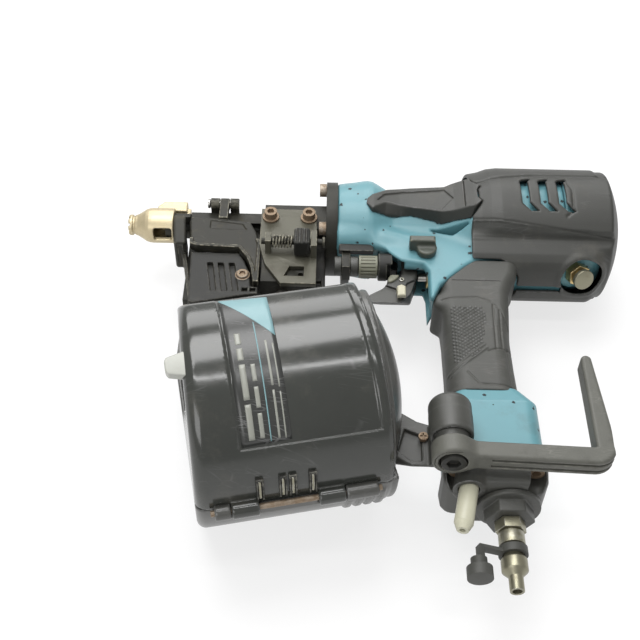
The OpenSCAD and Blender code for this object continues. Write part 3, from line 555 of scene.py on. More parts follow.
# Each layer is a colour, an amount, a scale and, for some, a change of roughness
def finish(name, colour, rough, metal=0.0, drift=(60, 0.25), grain=(1200, 0.4, 0.05), rough_drift=0.12,
           coat=0.0, specular=0.5, **layers):
    material = bpy.data.materials.new(name)
    material.use_nodes = True
    material.diffuse_color = shade(colour)
    tree = material.node_tree
    surface = tree.nodes["Principled BSDF"]
    for label, value in (("Metallic", metal), ("Specular IOR Level", specular), ("Coat Weight", coat),
                         ("Coat Roughness", COAT_ROUGHNESS)):
        surface.inputs[label].default_value = value

    def place(kind, **values):
        node = add(tree, "ShaderNodeGroup", {"node_tree": EFFECTS[kind]}, **values)
        return node.outputs

    uneven = place("drift", Color=shade(colour), Scale=drift[0], Amount=drift[1])
    tone = uneven["Color"]
    gloss = scaled_sum(tree, uneven["Mask"], rough_drift, rough - rough_drift / 2)
    for kind in ("scuff", "grime", "worn", "chips"):
        if kind in layers:
            tint, amount, scale, *rougher = layers[kind]
            layer = place(kind, Color=tone, Mark_Color=shade(tint), Amount=amount, Scale=scale)
            tone = layer["Color"]
            if rougher:
                gloss = scaled_sum(tree, layer["Mask"], rougher[0], gloss, use_clamp=True)
    height = place("grain", Scale=grain[0], Pits=grain[1])["Height"]
    bump = add(tree, "ShaderNodeBump", None, Height=height, Strength=1.0, Distance=grain[2] * MM)
    for label, value in (("Base Color", tone), ("Roughness", gloss), ("Normal", bump.outputs[0])):
        tree.links.new(value, surface.inputs[label])
    return material


TEAL = finish("teal_paint", (0.102, 0.248, 0.282), 0.42, drift=(35, 0.16), grain=(700, 0.2, 0.03),
    coat=0.05, grime=((0.07, 0.12, 0.12), 0.35, 45), worn=((0.24, 0.44, 0.47), 0.35, 260),
    chips=((0.004, 0.006, 0.007), 0.97, 190, 0.3))
COVER_BLACK = finish("cover_rubber", (0.028, 0.0285, 0.0245), 0.50, drift=(30, 0.5),
    grain=(1500, 0.5, 0.05), grime=((0.085, 0.078, 0.062), 0.45, 40, 0.1), worn=(0.16, 0.6, 240, 0.05),
    scuff=(0.15, 0.16, 34))
PLASTIC = finish("black_plastic", (0.044, 0.0445, 0.039), 0.46, drift=(45, 0.4), grain=(1300, 0.5, 0.04),
    grime=((0.07, 0.062, 0.05), 0.4, 60, 0.12), worn=(0.17, 0.6, 260, 0.05), scuff=(0.16, 0.18, 40))
SMOKED = finish("smoked_drum", (0.029, 0.031, 0.027), 0.17, drift=(25, 0.5), grain=(220, 0.1, 0.02),
    rough_drift=0.1, coat=0.2, grime=((0.068, 0.064, 0.052), 0.55, 30, 0.2), worn=(0.2, 0.6, 200, 0.1),
    scuff=(0.16, 0.16, 30, 0.2))
GRIP_RUBBER = finish("grip_rubber", (0.044, 0.0445, 0.039), 0.56, drift=(40, 0.35),
    grain=(1600, 0.6, 0.06), grime=((0.085, 0.078, 0.066), 0.4, 55, 0.05), worn=(0.15, 0.45, 300),
    scuff=(0.13, 0.25, 30))
NOSE_STEEL = finish("nose_steel", (0.021, 0.0205, 0.016), 0.46, 0.1, drift=(50, 0.6),
    grain=(800, 0.4, 0.05), rough_drift=0.1, specular=0.25, grime=((0.062, 0.052, 0.030), 0.6, 60, 0.05),
    worn=((0.32, 0.30, 0.23), 0.8, 300, -0.1), scuff=((0.2, 0.19, 0.16), 0.14, 60))
PLATE_STEEL = finish("feeder_steel", (0.080, 0.077, 0.058), 0.42, 0.25, drift=(45, 0.4),
    grain=(800, 0.4, 0.05), rough_drift=0.12, specular=0.3, grime=((0.035, 0.028, 0.018), 0.5, 60, 0.1),
    worn=((0.36, 0.33, 0.25), 0.8, 300, -0.1), scuff=((0.25, 0.24, 0.2), 0.2, 60))
DRUM_GREY = finish("drum_plastic", (0.052, 0.052, 0.047), 0.32, drift=(35, 0.4), grain=(700, 0.2, 0.03),
    specular=0.6, coat=0.15, grime=((0.09, 0.083, 0.066), 0.4, 45, 0.12), worn=(0.2, 0.6, 260, 0.05),
    scuff=(0.18, 0.18, 40))
SOOTY = finish("sooty_plastic", (0.019, 0.019, 0.017), 0.5, drift=(45, 0.5), grain=(1300, 0.5, 0.04),
    specular=0.25, grime=((0.06, 0.052, 0.034), 0.4, 55, 0.05), worn=((0.17, 0.165, 0.14), 0.7, 260),
    scuff=(0.14, 0.15, 40))
WORN_PLASTIC = finish("worn_plastic", (0.085, 0.085, 0.073), 0.5, drift=(70, 0.5),
    grain=(1100, 0.6, 0.07), specular=0.4, grime=((0.035, 0.032, 0.025), 0.5, 90, 0.1),
    worn=((0.22, 0.215, 0.18), 0.7, 260), scuff=((0.2, 0.195, 0.17), 0.35, 60))
STEEL = finish("bare_steel", (0.42, 0.41, 0.38), 0.32, 0.9, drift=(90, 0.4), grain=(900, 0.3, 0.03),
    rough_drift=0.2, grime=((0.12, 0.09, 0.06), 0.45, 110, 0.2), worn=(0.7, 0.5, 300))
TIP_STEEL = finish("tip_plating", (0.50, 0.425, 0.275), 0.42, 0.65, drift=(80, 0.4),
    grain=(700, 0.3, 0.04), rough_drift=0.2, grime=((0.17, 0.135, 0.07), 0.6, 90, 0.15),
    worn=((0.8, 0.72, 0.54), 0.5, 280), scuff=((0.72, 0.66, 0.5), 0.3, 70))
PLUG_STEEL = finish("plug_plating", (0.25, 0.238, 0.172), 0.36, 0.8, drift=(90, 0.3),
    grain=(800, 0.2, 0.03), rough_drift=0.15, grime=((0.2, 0.17, 0.11), 0.5, 130, 0.2),
    worn=(0.85, 0.5, 300))
BRASS = finish("dull_brass", (0.62, 0.47, 0.22), 0.33, 0.9, drift=(90, 0.35), grain=(800, 0.3, 0.03),
    rough_drift=0.2, grime=((0.2, 0.14, 0.06), 0.5, 130, 0.2), worn=((0.85, 0.74, 0.5), 0.5, 300))
RUSTY = finish("stained_bolts", (0.20, 0.145, 0.095), 0.55, 0.5, drift=(220, 0.8), grain=(900, 0.5, 0.08),
    rough_drift=0.3, grime=((0.10, 0.045, 0.02), 0.75, 260, 0.2),
    worn=((0.46, 0.42, 0.36), 0.7, 300, -0.15))
OLIVE = finish("olive_nylon", (0.17, 0.172, 0.125), 0.48, drift=(80, 0.3), grain=(1200, 0.5, 0.05),
    grime=((0.05, 0.045, 0.03), 0.45, 90, 0.1), worn=((0.27, 0.26, 0.2), 0.5, 300))
BEIGE = finish("beige_nylon", (0.44, 0.42, 0.31), 0.45, drift=(80, 0.2), grain=(1200, 0.4, 0.04),
    grime=((0.14, 0.12, 0.08), 0.4, 120, 0.1), worn=((0.6, 0.57, 0.46), 0.4, 300))
SEAL = finish("seal_rubber", 0.035, 0.6, drift=(80, 0.3), grain=(1400, 0.5, 0.05), grime=(0.06, 0.4, 90),
    worn=(0.1, 0.3, 300))
ALLOY = finish("machined_alloy", (0.55, 0.55, 0.53), 0.3, 0.9, drift=(90, 0.25), grain=(900, 0.2, 0.02),
    worn=(0.8, 0.4, 300), grime=((0.2, 0.18, 0.14), 0.3, 120))
SELECTOR = finish("dark_olive_nylon", (0.05, 0.057, 0.044), 0.42, drift=(80, 0.3),
    grain=(1200, 0.5, 0.04), grime=((0.03, 0.028, 0.02), 0.4, 90), worn=((0.24, 0.23, 0.17), 0.7, 300))
NOZZLE = finish("grey_nylon", (0.45, 0.44, 0.335), 0.4, drift=(60, 0.3), grain=(1000, 0.4, 0.04),
    grime=((0.12, 0.11, 0.075), 0.45, 70), worn=((0.45, 0.44, 0.36), 0.5, 300))
TAB_GREY = finish("pale_tab", (0.33, 0.335, 0.30), 0.35, drift=(60, 0.2), grain=(900, 0.3, 0.03),
    grime=((0.2, 0.19, 0.16), 0.4, 80), worn=(0.6, 0.3, 300))
FILM = finish("label_film", (0.030, 0.031, 0.029), 0.26, drift=(40, 0.3), grain=(500, 0.1, 0.01),
    scuff=(0.2, 0.5, 30, 0.2))
FILM_TEAL = finish("label_teal", (0.165, 0.29, 0.31), 0.32, drift=(40, 0.15), grain=(500, 0.1, 0.01),
    scuff=((0.15, 0.2, 0.2), 0.5, 30))
FILM_PALE = finish("label_pale", (0.24, 0.245, 0.215), 0.34, drift=(60, 0.12), grain=(500, 0.1, 0.01),
    scuff=((0.25, 0.25, 0.24), 0.6, 30))


# Main castings and mouldings
BARREL = [(-9, 28.7), (0, 28.8), (5, 29.6), (11, 30.3), (16, 31.2), (19, 31.5), (22, 31.0), (25, 29.4),
    (28, 27.6), (31, 25.9), (34, 24.8), (62, 24.3), (70, 27.2), (92, 35.0), (150, 35.0)]
NEAR_CHEEK = [(19, -16), (22.5, -29.8), (28.9, -33.0), (34.5, -39.2), (38.5, -42.6), (52.2, -45),
    (55.8, -51.5), (55.6, -73), (57.4, -72.4), (61.6, -62.4), (68.4, -55), (77, -46.4), (87, -38.4),
    (92, -18)]
CORE_CHEEK = [(36, -14), (40.6, -44.6), (54, -44.8), (55.6, -51), (55.6, -70), (60, -61), (67, -54.4),
    (76, -46.4), (90, -38), (92, -14)]


def button_gap(x, y, z):
    dx, dy, dz = x - BUTTON_AT[0], y - BUTTON_AT[1], z - BUTTON_AT[2]
    t = dx * BUTTON_AXIS[0] + dy * BUTTON_AXIS[1] + dz * BUTTON_AXIS[2]
    return t, np.sqrt(np.maximum(dx * dx + dy * dy + dz * dz - t * t, 0))


def barrel_round(x, y):
    return along(x, BARREL) - 2.8 * ramp(y, -6, 4) * ramp(x, 30, 34) * (1 - ramp(x, 66, 84))


def casting(x, y, z):
    r = np.hypot(y, z)
    body = soft_max(r - barrel_round(x, y), within(x, 0, 139.7), 1.6)
    roll = np.hypot(y - along(x, [(24, -20.6), (52, -27.5)]), z - 12.6) - along(x, [(28, 8.4), (52, 4.5)])
    body = soft_min(body, rounded(roll, within(x, 0.3, 54), 1.2), 3.5)
    near = rounded(outline(x, y, NEAR_CHEEK), both(z - 17.6, 12.8 - z), 1.6)
    core = plate(x, y, z, CORE_CHEEK, -13.8, 13.8, 1.6)
    body = soft_min(soft_min(body, core, 5), near, 5)
    pad = rounded(within(x, 101, 139.6), both(within(y, -42.2, -28), within(z, -9, 4)), 1.0)
    body = soft_min(body, pad, 2)
    handle = both(post_shape(x - GRIP_X, z, 16.4, 13.9, 9), within(y, -150, -18))
    body = soft_min(body, handle, 3)
    flare = post_shape(x - FLARE_X - 0.5, z, along(y, [(-184, 25.6), (-149, 25.3), (-137, 18.4)]),
                       along(y, [(-184, 21), (-150, 20.4), (-137, 15.4)]), 8)
    body = soft_min(body, soft_max(flare * 0.85, within(y, -183.8, -137), 1.2), 2)
    ledge = plate(x, y, z, [(58, -17.2), (81, -16.6), (81, -17.8), (71, -21.8), (58, -18.2)], 10, 60, 0.6)
    body = cut(body, both(ledge, r - 60), 1)
    bore = both(r - 20.1, within(x, 8, 133))
    bore = either(bore, both(r - 27.1, within(x, 86, 145)))
    bore = either(bore, both(r - 9, x - 10))
    pocket = both(within(x, 26, 58), within(y, -68, -27), np.abs(z) - 10.5)
    pocket = either(pocket, both(within(x, 26, 41), within(y, -68, -33.6), within(z, -12, 15.3)))
    pocket = either(pocket, both(np.hypot(y + 41, z) - 5.2, within(x, 50, 78)))
    pocket = either(pocket, both(np.hypot(x - 54, y + 36.5) - 3.7, 4 - z))
    return cut(cut(body, bore, 0.5), pocket, 1.2)


def head_shape(x, y, z):
    r = np.hypot(y, z)
    body = both(soft_max(r - 35, (x - 170.6 + DOME * r * r) * 0.9, 5), 140 - x)
    t, away = button_gap(x, y, z)
    boss = rounded(away - 11.2, within(t, -12, 1), 0.8)
    body = soft_min(body, boss, 2)
    body = cut(body, both(r - 27, x - 160.2), 0.8)
    return cut(body, both(away - 5.2, within(t, -8, 3)), 0.6)


COVER_ROUND = [(-90, 46.2), (-82, 46.7), (-75, 47.0), (-68, 46.2), (-62, 43.8), (-57, 40.6), (-53, 38.3),
    (-50, 37.5), (-47, 37.9), (-42, 39.5), (-37, 40.5), (-35.8, 41.2), (-34, 41.2), (-20, 40.8),
    (0, 40.4), (14, 40.2), (17, 40.1), (18.6, 41.3), (30, 41.4), (90, 41.4)]
COVER_FRONT = [(-90, 82), (-47, 82), (-30, 82.4), (-15, 88.6), (-11, 86.6), (2, 86.6), (5, 88.3),
    (13, 83.2), (20, 81.6), (90, 80.4)]
WINDOW = [(-0.4, 6.0), (1.6, 7.8), (6.6, 9.0), (4.5, 6.0), (4.5, -11.6), (9.8, -17.4), (5.2, -17.4),
    (0, -12.4)]
COVER_SEAM = [(83, -33), (99, -34.2), (120, -38.4), (144, -43.1), (166, -48.8)]
COVER_NOTCH = [(140.4, 7.4), (143.8, -1), (143.4, -17.4), (139.4, -20.4)]


def cover_round(x, angle):
    fade = np.clip(1 - np.abs(angle + 38) / 15, 0, 1)
    crease = along(x, [(83, 2), (99, 0.6), (120, -3.6), (144, -8), (166, -12)]) * fade
    groove = along(x, [(84, -9.5), (90, -8), (121, 0), (161, 1)]) * np.clip(angle / 12, 0, 1)
    shape = along(angle - crease - groove, COVER_ROUND)
    strip = 1.2 * ramp(x, 160, 163) * ramp(angle - groove, 16, 18)
    roll = np.maximum(shape - 40.4, 0) * ramp(x, 156, 168) * ramp(-angle, 46, 52)
    lip = along(x, [(80, 4.6), (88, 3.0), (94, 0.8), (100, 0)]) * ramp(angle, -52, -40)
    return shape - strip - roll - lip


def rear_cover(x, y, z):
    r, flat = np.hypot(y, z), np.abs(z)
    angle = np.degrees(np.arctan2(y, flat))
    t, away = button_gap(x, y, z)
    size = cover_round(x, angle) + 0.9 * (1 - ramp(away, 14.2, 17)) * (t > -12)
    end = soft_max(r - 47.5, (x - 178.4 + DOME * r * r) * 0.9, 7)
    body = soft_max((r - size) * 0.86, end, 1.2)
    body = soft_max(body, (along(angle, COVER_FRONT) - x) * 0.75, 0.9)
    body = body + 0.75 * np.exp(-(line_gap(x, y, COVER_NOTCH) / 0.7) ** 2) * (flat > 15)
    seam = (angle - along(x, COVER_SEAM)) * DEGREE * 41
    body = body + 0.5 * np.exp(-(seam / 0.55) ** 2) * (r > 36)
    hollow = soft_max((r - size + 2.3) * 0.86, soft_max((x - 175.2 + DOME * r * r) * 0.9, -1.0 - x, 1), 1)
    body = cut(body, hollow)
    for k in range(3):
        body = cut(body, plate(x - 112.6 - 11.2 * k, y, flat, WINDOW, 15, 60, 0.7), 0.9)
    body = cut(body, both(within(x, 111, 138.5), within(z, -5.0, -0.4), y + 30), 0.8)
    body = cut(body, both(away - 12.4, -6 - t), 1.6)
    collar = both(post_shape(x - 84.3, z, 26.6, 18.0, 14), y + 24)
    return cut(body, collar, 1.0)


SHROUD_SIDE = [(17.4, -8.4), (20.9, -13.4), (30, -12), (41, -11), (57.6, -13.4), (59.8, -18.6),
    (79.6, -20), (84, -14), (88.0, -9.6), (85.9, -6), (85.9, 0.3), (87.5, 4.0), (82.6, 9.2), (80.8, 20),
    (79.6, 44), (34.5, 44), (33.4, 8), (28, 3.6), (21, -1.2), (18, -4.4)]
SHROUD_PANEL = [(24, -6), (28.6, 0.4), (40, 4.6), (66.2, 7.2), (71.6, -1.6), (63.6, -10.6), (31, -5.6)]


def front_shroud(x, y, z):
    flat, r = np.abs(z), np.hypot(y, z)
    out = along(x, [(16, 32.0), (22, 32.6), (30, 31), (38, 29.6), (45, 29.2), (64, 29.6), (72, 31.4),
        (84, 36.6), (90, 38.4)])
    top = along(x, [(16, 19.4), (26.6, 22.8), (45, 25), (66.7, 26.4), (73.9, 29.8), (84, 34.8),
        (90, 37.2)])
    side = flat - out
    body = soft_max(side, 0.776 * y + 0.63 * flat - top, 0.6)
    crease = along(x, [(16, -9), (21, -13.2), (29.5, -7), (38, -7.8), (45.7, -8.8), (63.9, -12.2),
        (84, -12.9)])
    slope = along(x, [(20, 0.7), (30, 0.9), (45, 0.25), (60, 0.2), (66, 0.35), (84, 0.4)])
    body = soft_max(body, (crease - (out - flat) * slope - y) * 0.8, 0.6)
    body = soft_max(body, r - top - 1.5 - 30 * (1 - ramp(y, 4, 14)), 2)
    body = soft_max(body, outline(x, y, SHROUD_SIDE), 0.8)
    body = cut(body, cut(outline(x, y, SHROUD_PANEL), side + 0.9), 0.4)
    body = soft_max(body, np.where(z < 0, 19.2, 10) - x, 0.5)
    return both(body, barrel_round(x, y) + 0.35 - r)


GRIP_SIZE = [(-141, 20.4), (-137, 19.9), (-120, 19.5), (-100, 19.4), (-80, 19.6), (-66, 20.2),
    (-58, 21.8), (-51, 24.4), (-44, 25.8)]
GRIP_MID = [(-141, 82.0), (-100, 81.5), (-66, 82.2), (-51, 84), (-44, 84.3)]
GRIP_DEEP = [(-141, 17.7), (-137, 17.1), (-120, 16.6), (-90, 16.3), (-66, 16.8), (-51, 17.2), (-44, 17.4)]
GRIP_LINES = [[(62, -73), (66.9, -72.3), (82.7, -71.3), (90, -74), (96.1, -81.4), (100, -92)],
    [(91.6, -77), (90.8, -110)], [(95, -81), (94.6, -108.6)], [(86.4, -112), (90.8, -110), (101, -108.3)],
    [(97, -108.4), (98.6, -139)], [(73.4, -127.5), (79.4, -135.8), (97, -136.9)]]
GRIP_RIDGES = [[(64.6, -128.3), (85.5, -109.7)], [(63.2, -126.0), (84.0, -107.6)]]
GRIP_SIDE = [(50, -80), (55.6, -77), (56.8, -73.3), (60.8, -63), (67.8, -55.6), (76.6, -47),
    (86.8, -38.8), (120, -38), (120, -150), (50, -150)]


def grip_plain(x, y, z):
    body = post_shape(x - along(y, GRIP_MID), z, along(y, GRIP_SIZE), along(y, GRIP_DEEP),
        along(y, [(-96, 12.5), (-80, 7)]))
    body = soft_min(body, rod(x, y, z, 61.6, -71.6, 5.2, -14.5, 14.5, 3.5), 5)
    body = soft_max(body, outline(x, y, GRIP_SIDE), 1.6)
    return soft_max(body, within(y, -140.2, -41.5), 1.4)


def grip_shape(x, y, z):
    body = grip_plain(x, y, z)
    for pts in GRIP_LINES:
        body = body + 0.6 * np.exp(-(line_gap(x, y, pts) / 0.55) ** 2)
    for pts in GRIP_RIDGES:
        body = body - 0.55 * np.exp(-(line_gap(x, y, pts) / 0.6) ** 2)
    core = both(post_shape(x - GRIP_X, z, 16.6, 14.1, 9), -y - 141)
    return cut(body, core)


HOOK_BEND = [(130.2 + 5.8 * math.sin(a), -190.2 - 5.8 * math.cos(a)) for a in np.linspace(0.05, 1.5, 7)]
HOOK_PATH = [(59, -193.3)] + HOOK_BEND + [(133.6, -134.5)]


def from_post(x, z):
    return np.hypot(x - POST[0], z - POST[1])


def hook_shape(x, y, z):
    deep = z - POST[1]
    half = np.where(x > 118, along(y, [(-188, 5.1), (-134, 2.9)]), 5.1) + 0 * z
    gap = line_gap(x, y, HOOK_PATH)
    arm = rounded(gap - half, np.abs(deep) - 5.9, 1.9)
    body = soft_min(arm, rod(x, z, y, POST[0], POST[1], 11.1, -198.8, -187.95, 1.6), 3)
    low = either(y + 193.6 + (x - 59) * 0.034, along(y, [(-190, 136), (-134, 133.6)]) - x)
    for side in (-2.5, 2.5):
        slot = both(np.abs(deep - side) - 0.85, half - 1.3 - gap, 78 - x, low, y + 181)
        body = cut(body, slot, 0.6)
    hole = either(from_post(x, z) - 4.5, both(from_post(x, z) - 7.3, y + 193.4))
    return cut(body, hole, 0.6)


def hook_post(x, y, z):
    away = from_post(x, z)
    body = rounded(away - 11.4, within(y, -184.2, -160.6), 5)
    body = soft_min(body, rounded(away - 11.4, within(y, -184.2, -170), 1.4), 0.5)
    body = soft_min(body, rounded(away - 8.6, within(y, -187.5, -180), 0.6), 0.6)
    return cut(body, both(away - 4.2, y + 168))


def end_cap(x, y, z):
    u = x - FLARE_X
    body = both(post_shape(u, z, 26.3, 20.8, 12), within(y, -188.2, -184.7))
    wide = along(y, [(-203, 23.4), (-196, 27.2), (-188, 27.8)])
    deep = along(y, [(-203, 18.4), (-188, 20.4)])
    lower = soft_max(post_shape(u, z, wide, deep, 9), within(y, -202.7, -187), 3.5)
    body = soft_min(soft_max(body, -1.0, 0.8), lower, 1.2)
    for sx in (-20.5, 20.5):
        for sz in (-15, 15):
            body = cut(body, both(np.hypot(u - sx, z - sz) - 5.3, y + 187.9), 0.9)
    body = cut(body, both(np.hypot(x - 90.5, z) - 10.1, y + 186), 0.5)
    tilt = math.radians(11.6)
    nx = (x - 68.5) * math.cos(tilt) - (y + 202.8) * math.sin(tilt)
    boss = both(np.hypot(nx, z - 14) - 8.2, within(y, -202.6, -190))
    return cut(soft_min(body, boss, 1.5), both(np.hypot(nx, z - 14) - 5.5, y + 193), 0.6)


lay_out((
    ("body_casting", casting, (-1, -186, -38), (141, 38, 38), 0.85, TEAL, "teal_paint", "tool",
        "body_housing", "handle_frame"),
    ("cylinder_head_casting", head_shape, (139, -50, -38), (176, 38, 38), 0.9, TEAL, "teal_paint", "tool",
        "cylinder_head"),
    ("rear_cover_shell", rear_cover, (79, -47, -43), (183.5, 43, 43), 0.8, COVER_BLACK, "black_plastic",
        "tool", "rear_cover"),
    ("front_shroud_saddle", front_shroud, (15, -28, -41), (90, 40, 41), 0.6, COVER_BLACK, "black_plastic",
        "tool", "front_shroud"),
    ("grip_sleeve_moulding", grip_shape, (54, -142, -20), (113, -39, 20), 0.5, GRIP_RUBBER, "rubber",
        "tool", "grip_sleeve"),
    ("belt_hook", hook_shape, (46, -201, 20), (139, -130, 46), 0.55, WORN_PLASTIC, "black_plastic",
        "hook", "hook"),
    ("hook_post_sleeve", hook_post, (46, -189, 20), (72, -154, 46), 0.6, PLASTIC, "black_plastic", "tool",
        "hook_post"),
    ("end_cap_casting", end_cap, (55, -204, -23), (112, -183, 23), 0.55, PLASTIC, "black_plastic", "tool",
        "end_cap"),
))


# Nail drum, in its own frame: s along the axle, p towards the nose, q up
DRUM_R, HINGE_P, PANEL_DEPTH = 62.5, -65, 1.1
SPLIT = (math.sin(math.radians(9.76)), math.cos(math.radians(9.76)))
COVER_LEFT = [(0, -50), (68, -51.5), (110, -53.6), (180, -56)]
COVER_RIGHT = [(0, 39.6), (68, 40.6), (110, 43), (150, 44.6), (200, 44.8)]
NECK = [(-93, -60.6), (-48, -60.6), (-47, -84), (-50, -112), (-93, -116)]
NECK_SLOTS = (-86.5, -77, -67.5)
KNUCKLES = ((-38.5, -24.6), (5.3, 18.9))


def drum_polar(p, q):
    turn = np.degrees(np.arctan2(q, p))
    return np.hypot(p, q), np.where(turn < -90, turn + 360, turn)


def drum_split(p, q):
    return (p - HINGE_P) * SPLIT[0] + q * SPLIT[1]


def drum_flat(p, q):
    return 0.805 * p + 0.594 * q - 53.3


def drum_dome(s, r, size):
    return np.hypot(s + 35.5, r) - size


def nail_slot(s, p, q):
    return both(within(s, -52.5, 30), 40 - p, within(q, -26.1, -16.9))


def panel_drop(s, turn):
    right = along(turn, COVER_RIGHT)
    drop = PANEL_DEPTH * (1 - ramp(turn, 147.8, 149)) * ramp(s, -32.1, -31.1)
    return drop * (1 - ramp(s, right - 6.2, right - 4.8))


def drum_cover(s, p, q):
    r, turn = drum_polar(p, q)
    left, right = along(turn, COVER_LEFT), along(turn, COVER_RIGHT)
    size = DRUM_R - panel_drop(s, turn) - 0.5 * ramp(s, right - 2.2, right - 1.4)
    flat = drum_flat(p, q)
    body = soft_max(rounded(r - size, (left - s) * 0.98, 6.5), flat, 2.2)
    body = soft_max(body, (s - right) * 0.98, 1.2)
    body = cut(body, both(rounded(r - size + 2.3, left + 2.6 - s, 4.6), flat + 2.3))
    body = soft_max(body, 0.3 - drum_split(p, q), 0.6)
    for low, high in KNUCKLES:
        body = soft_min(body, rod(p, q, s, HINGE_P, 0, 4.4, low, high, 0.8), 1.2)
    return cut(body, nail_slot(s, p, q), 0.8)


def drum_base(s, p, q):
    r, turn = drum_polar(p, q)
    ribs = sum(1 - ramp(np.abs(s - at), 0.9, 1.9) for at in (23, 28.6, 34.2, 39.8))
    size = 62.2 + 1.3 * ribs * ramp(turn, 184, 188) * (1 - ramp(turn, 222, 228))
    flat = drum_flat(p, q)
    shell = rounded(r - size, within(s, -56, 46.5), 5)
    shell = cut(shell, both(r - 59.8, within(s, -53.4, 60)))
    shell = soft_max(shell, drum_split(p, q) + 0.3, 0.8)
    disc = rounded(r - np.where(drum_split(p, q) < 0, 61.4, 54), within(s, 44.6, 48.0), 1.2)
    disc = soft_max(disc, flat + 3.4, 2)
    cap = drum_dome(s, r, 96.5)
    cap = soft_max(cut(soft_max(cap, 46.5 - s, 1), both(cap + 2.6, 48 - s)), flat + 3.6, 2)
    rim = cut(soft_max(r - 56.2, flat + 4.6, 1), soft_max(r - 54, flat + 6.8, 1))
    rim = both(rim, within(s, 37, 45.6), -0.4 - drum_split(p, q))
    body = soft_min(either(shell, disc, rim), cap, 2)
    for low, high in ((-47, -38.9), (19.3, 36)):
        body = soft_min(body, rod(p, q, s, HINGE_P, 0, 4.0, low, high, 0.7), 1.2)
    lug = both(within(s, -47, 36), within(p, HINGE_P, -58), within(q, -7, -1))
    for low, high in KNUCKLES:
        lug = cut(lug, both(np.hypot(p - HINGE_P, q) - 4.9, within(s, low - 0.3, high + 0.3)))
    lug = both(lug, 2.6 - np.hypot(p - HINGE_P, q))
    body = soft_min(body, lug, 1)
    c, n = math.cos(DRUM_TILT), math.sin(DRUM_TILT)
    x, y, z = DRUM_AT[0] + s * c - p * n, DRUM_AT[1] + s * n + p * c, DRUM_AT[2] + q
    neck = plate(x, y, z, NECK, -12, -4.3, 1.0)
    for at in NECK_SLOTS:
        neck = cut(neck, both(np.abs(x - at) - 2.6, within(y, -92, -66), -9.5 - z), 0.6)
    body = soft_min(body, both(neck, 61 - r), 1.2)
    body = cut(body, nail_slot(s, p, q), 0.8)
    return cut(body, both(r - 6.1, within(s, 40, 70)))


def drum_tab(s, p, q):
    r, turn = drum_polar(p, q)
    half = along(s, [(-61.4, 3.3), (-60, 4.6), (-52, 6.6)])
    across = np.abs((turn - 104.5) * DEGREE * r) - half
    return rounded(rounded(across, within(s, -61.4, -50.5), 1.4), within(r, 54.6, 60.4), 0.9)


FILM_THICK = 0.16


# Thin film bent round the drum, with four corners for each panel as place along the axle and angle
def film(name, panels, finish, lift, rows=28, cols=10):
    points, faces = [], []
    for four in panels:
        start = len(points)
        a, b, c, d = (np.array(k, float) for k in four)
        for i in range(rows + 1):
            for j in range(cols + 1):
                u, v = j / cols, i / rows
                s, turn = (a * (1 - u) + b * u) * (1 - v) + (d * (1 - u) + c * u) * v
                r, angle = DRUM_R - PANEL_DEPTH + lift, math.radians(turn)
                points.append((s, r * math.cos(angle), r * math.sin(angle)))
        for i in range(rows):
            for j in range(cols):
                k = start + i * (cols + 1) + j
                faces.append((k, k + cols + 1, k + cols + 2, k + 1))
    obj = made(name, points, faces, DRUM)
    thick = obj.modifiers.new("thickness", "SOLIDIFY")
    thick.thickness, thick.offset = FILM_THICK * MM, -1
    return dressed(baked(obj), finish, "gloss_black", "cover")


lay_out((
    ("drum_cover_shell", drum_cover, (-58, -71, -30), (47, 65, 65), 0.8, SMOKED, "gloss_black", "cover",
        "magazine_cover"),
    ("drum_base_shell", drum_base, (-58, -71, -66), (63, 97, 62), 0.9, DRUM_GREY, "black_plastic", "tool",
        "magazine_base"),
    ("drum_cover_tab", drum_tab, (-63, -32, 48), (-49, 4, 63), 0.45, TAB_GREY, "gloss_black", "cover"),
), DRUM)
BARS = ((-26.2, -23.2, ((93.5, 99.6), (101.6, 107.6), (109.6, 126), (128, 144.4))),
        (-20.6, -18.4, ((110, 118), (120.5, 130), (132.5, 144))),
        (-12.0, -10.9, ((99, 121), (123, 145))), (-8.6, -7.9, ((101, 122), (124, 145.4))))
bars = [((a, c), (b, c), (b, d), (a, d)) for a, b, runs in BARS for c, d in runs]
film("label_film_panel", [((-30.6, 68.4), (-6, 70.4), (-5.4, 146.4), (-30.2, 147.2))], FILM, 0.10)
film("label_wedge", [((-30.6, 68.4), (-6, 70.4), (-6.1, 97.4), (-30.4, 69.2))], FILM_TEAL, 0.16)
film("label_line", [((-15.9, 87.6), (-15.3, 88.2), (-15.3, 146), (-15.9, 146))], FILM_TEAL, 0.16, cols=1)
film("label_bars", bars, FILM_PALE, 0.16, rows=8, cols=3)


# Trigger group, door, latch, stay, rod and nose fittings
TRIGGER = [(40, -31), (47.4, -30.6), (49.4, -36), (49.4, -46), (46.8, -53.5), (45, -60), (38.4, -68.4),
    (31, -70), (21.4, -69), (18.8, -64.6), (20, -61.8), (27.8, -56.6), (30.4, -53.4), (31.6, -46),
    (39.8, -45.3)]
TRIGGER_STEP = [(10, -55), (29.7, -55.1), (32.7, -56.3), (38.1, -58.7), (40, -57.6), (42.9, -52.8),
    (46.9, -50.4), (60, -50), (60, -80), (10, -80)]
MODE_TAB = [(36.2, -66.6), (41.4, -66.2), (41.6, -58.6), (39, -57.2), (36.4, -58.6)]
TRIGGER_HOLLOW = [(36, -20), (60, -20), (60, -52), (46, -52), (43, -46.5), (41.5, -44), (36, -42)]
hinge = middle("door_hinge_pin")
HINGE_Y, HINGE_Z = hinge[1] / MM - ORIGIN.y / MM, hinge[2] / MM - ORIGIN.z / MM
DOOR = [(-93.6, -6), (-92.4, -1.6), (-76, -2.4), (-55, -5.6), (-50.4, -15), (-47.4, -26), (-47.4, -58),
    (-50.6, -58), (-52.6, -46), (-55.6, -37.4), (-61, -29.6), (-87, -28.6), (-91.5, -26.6)]
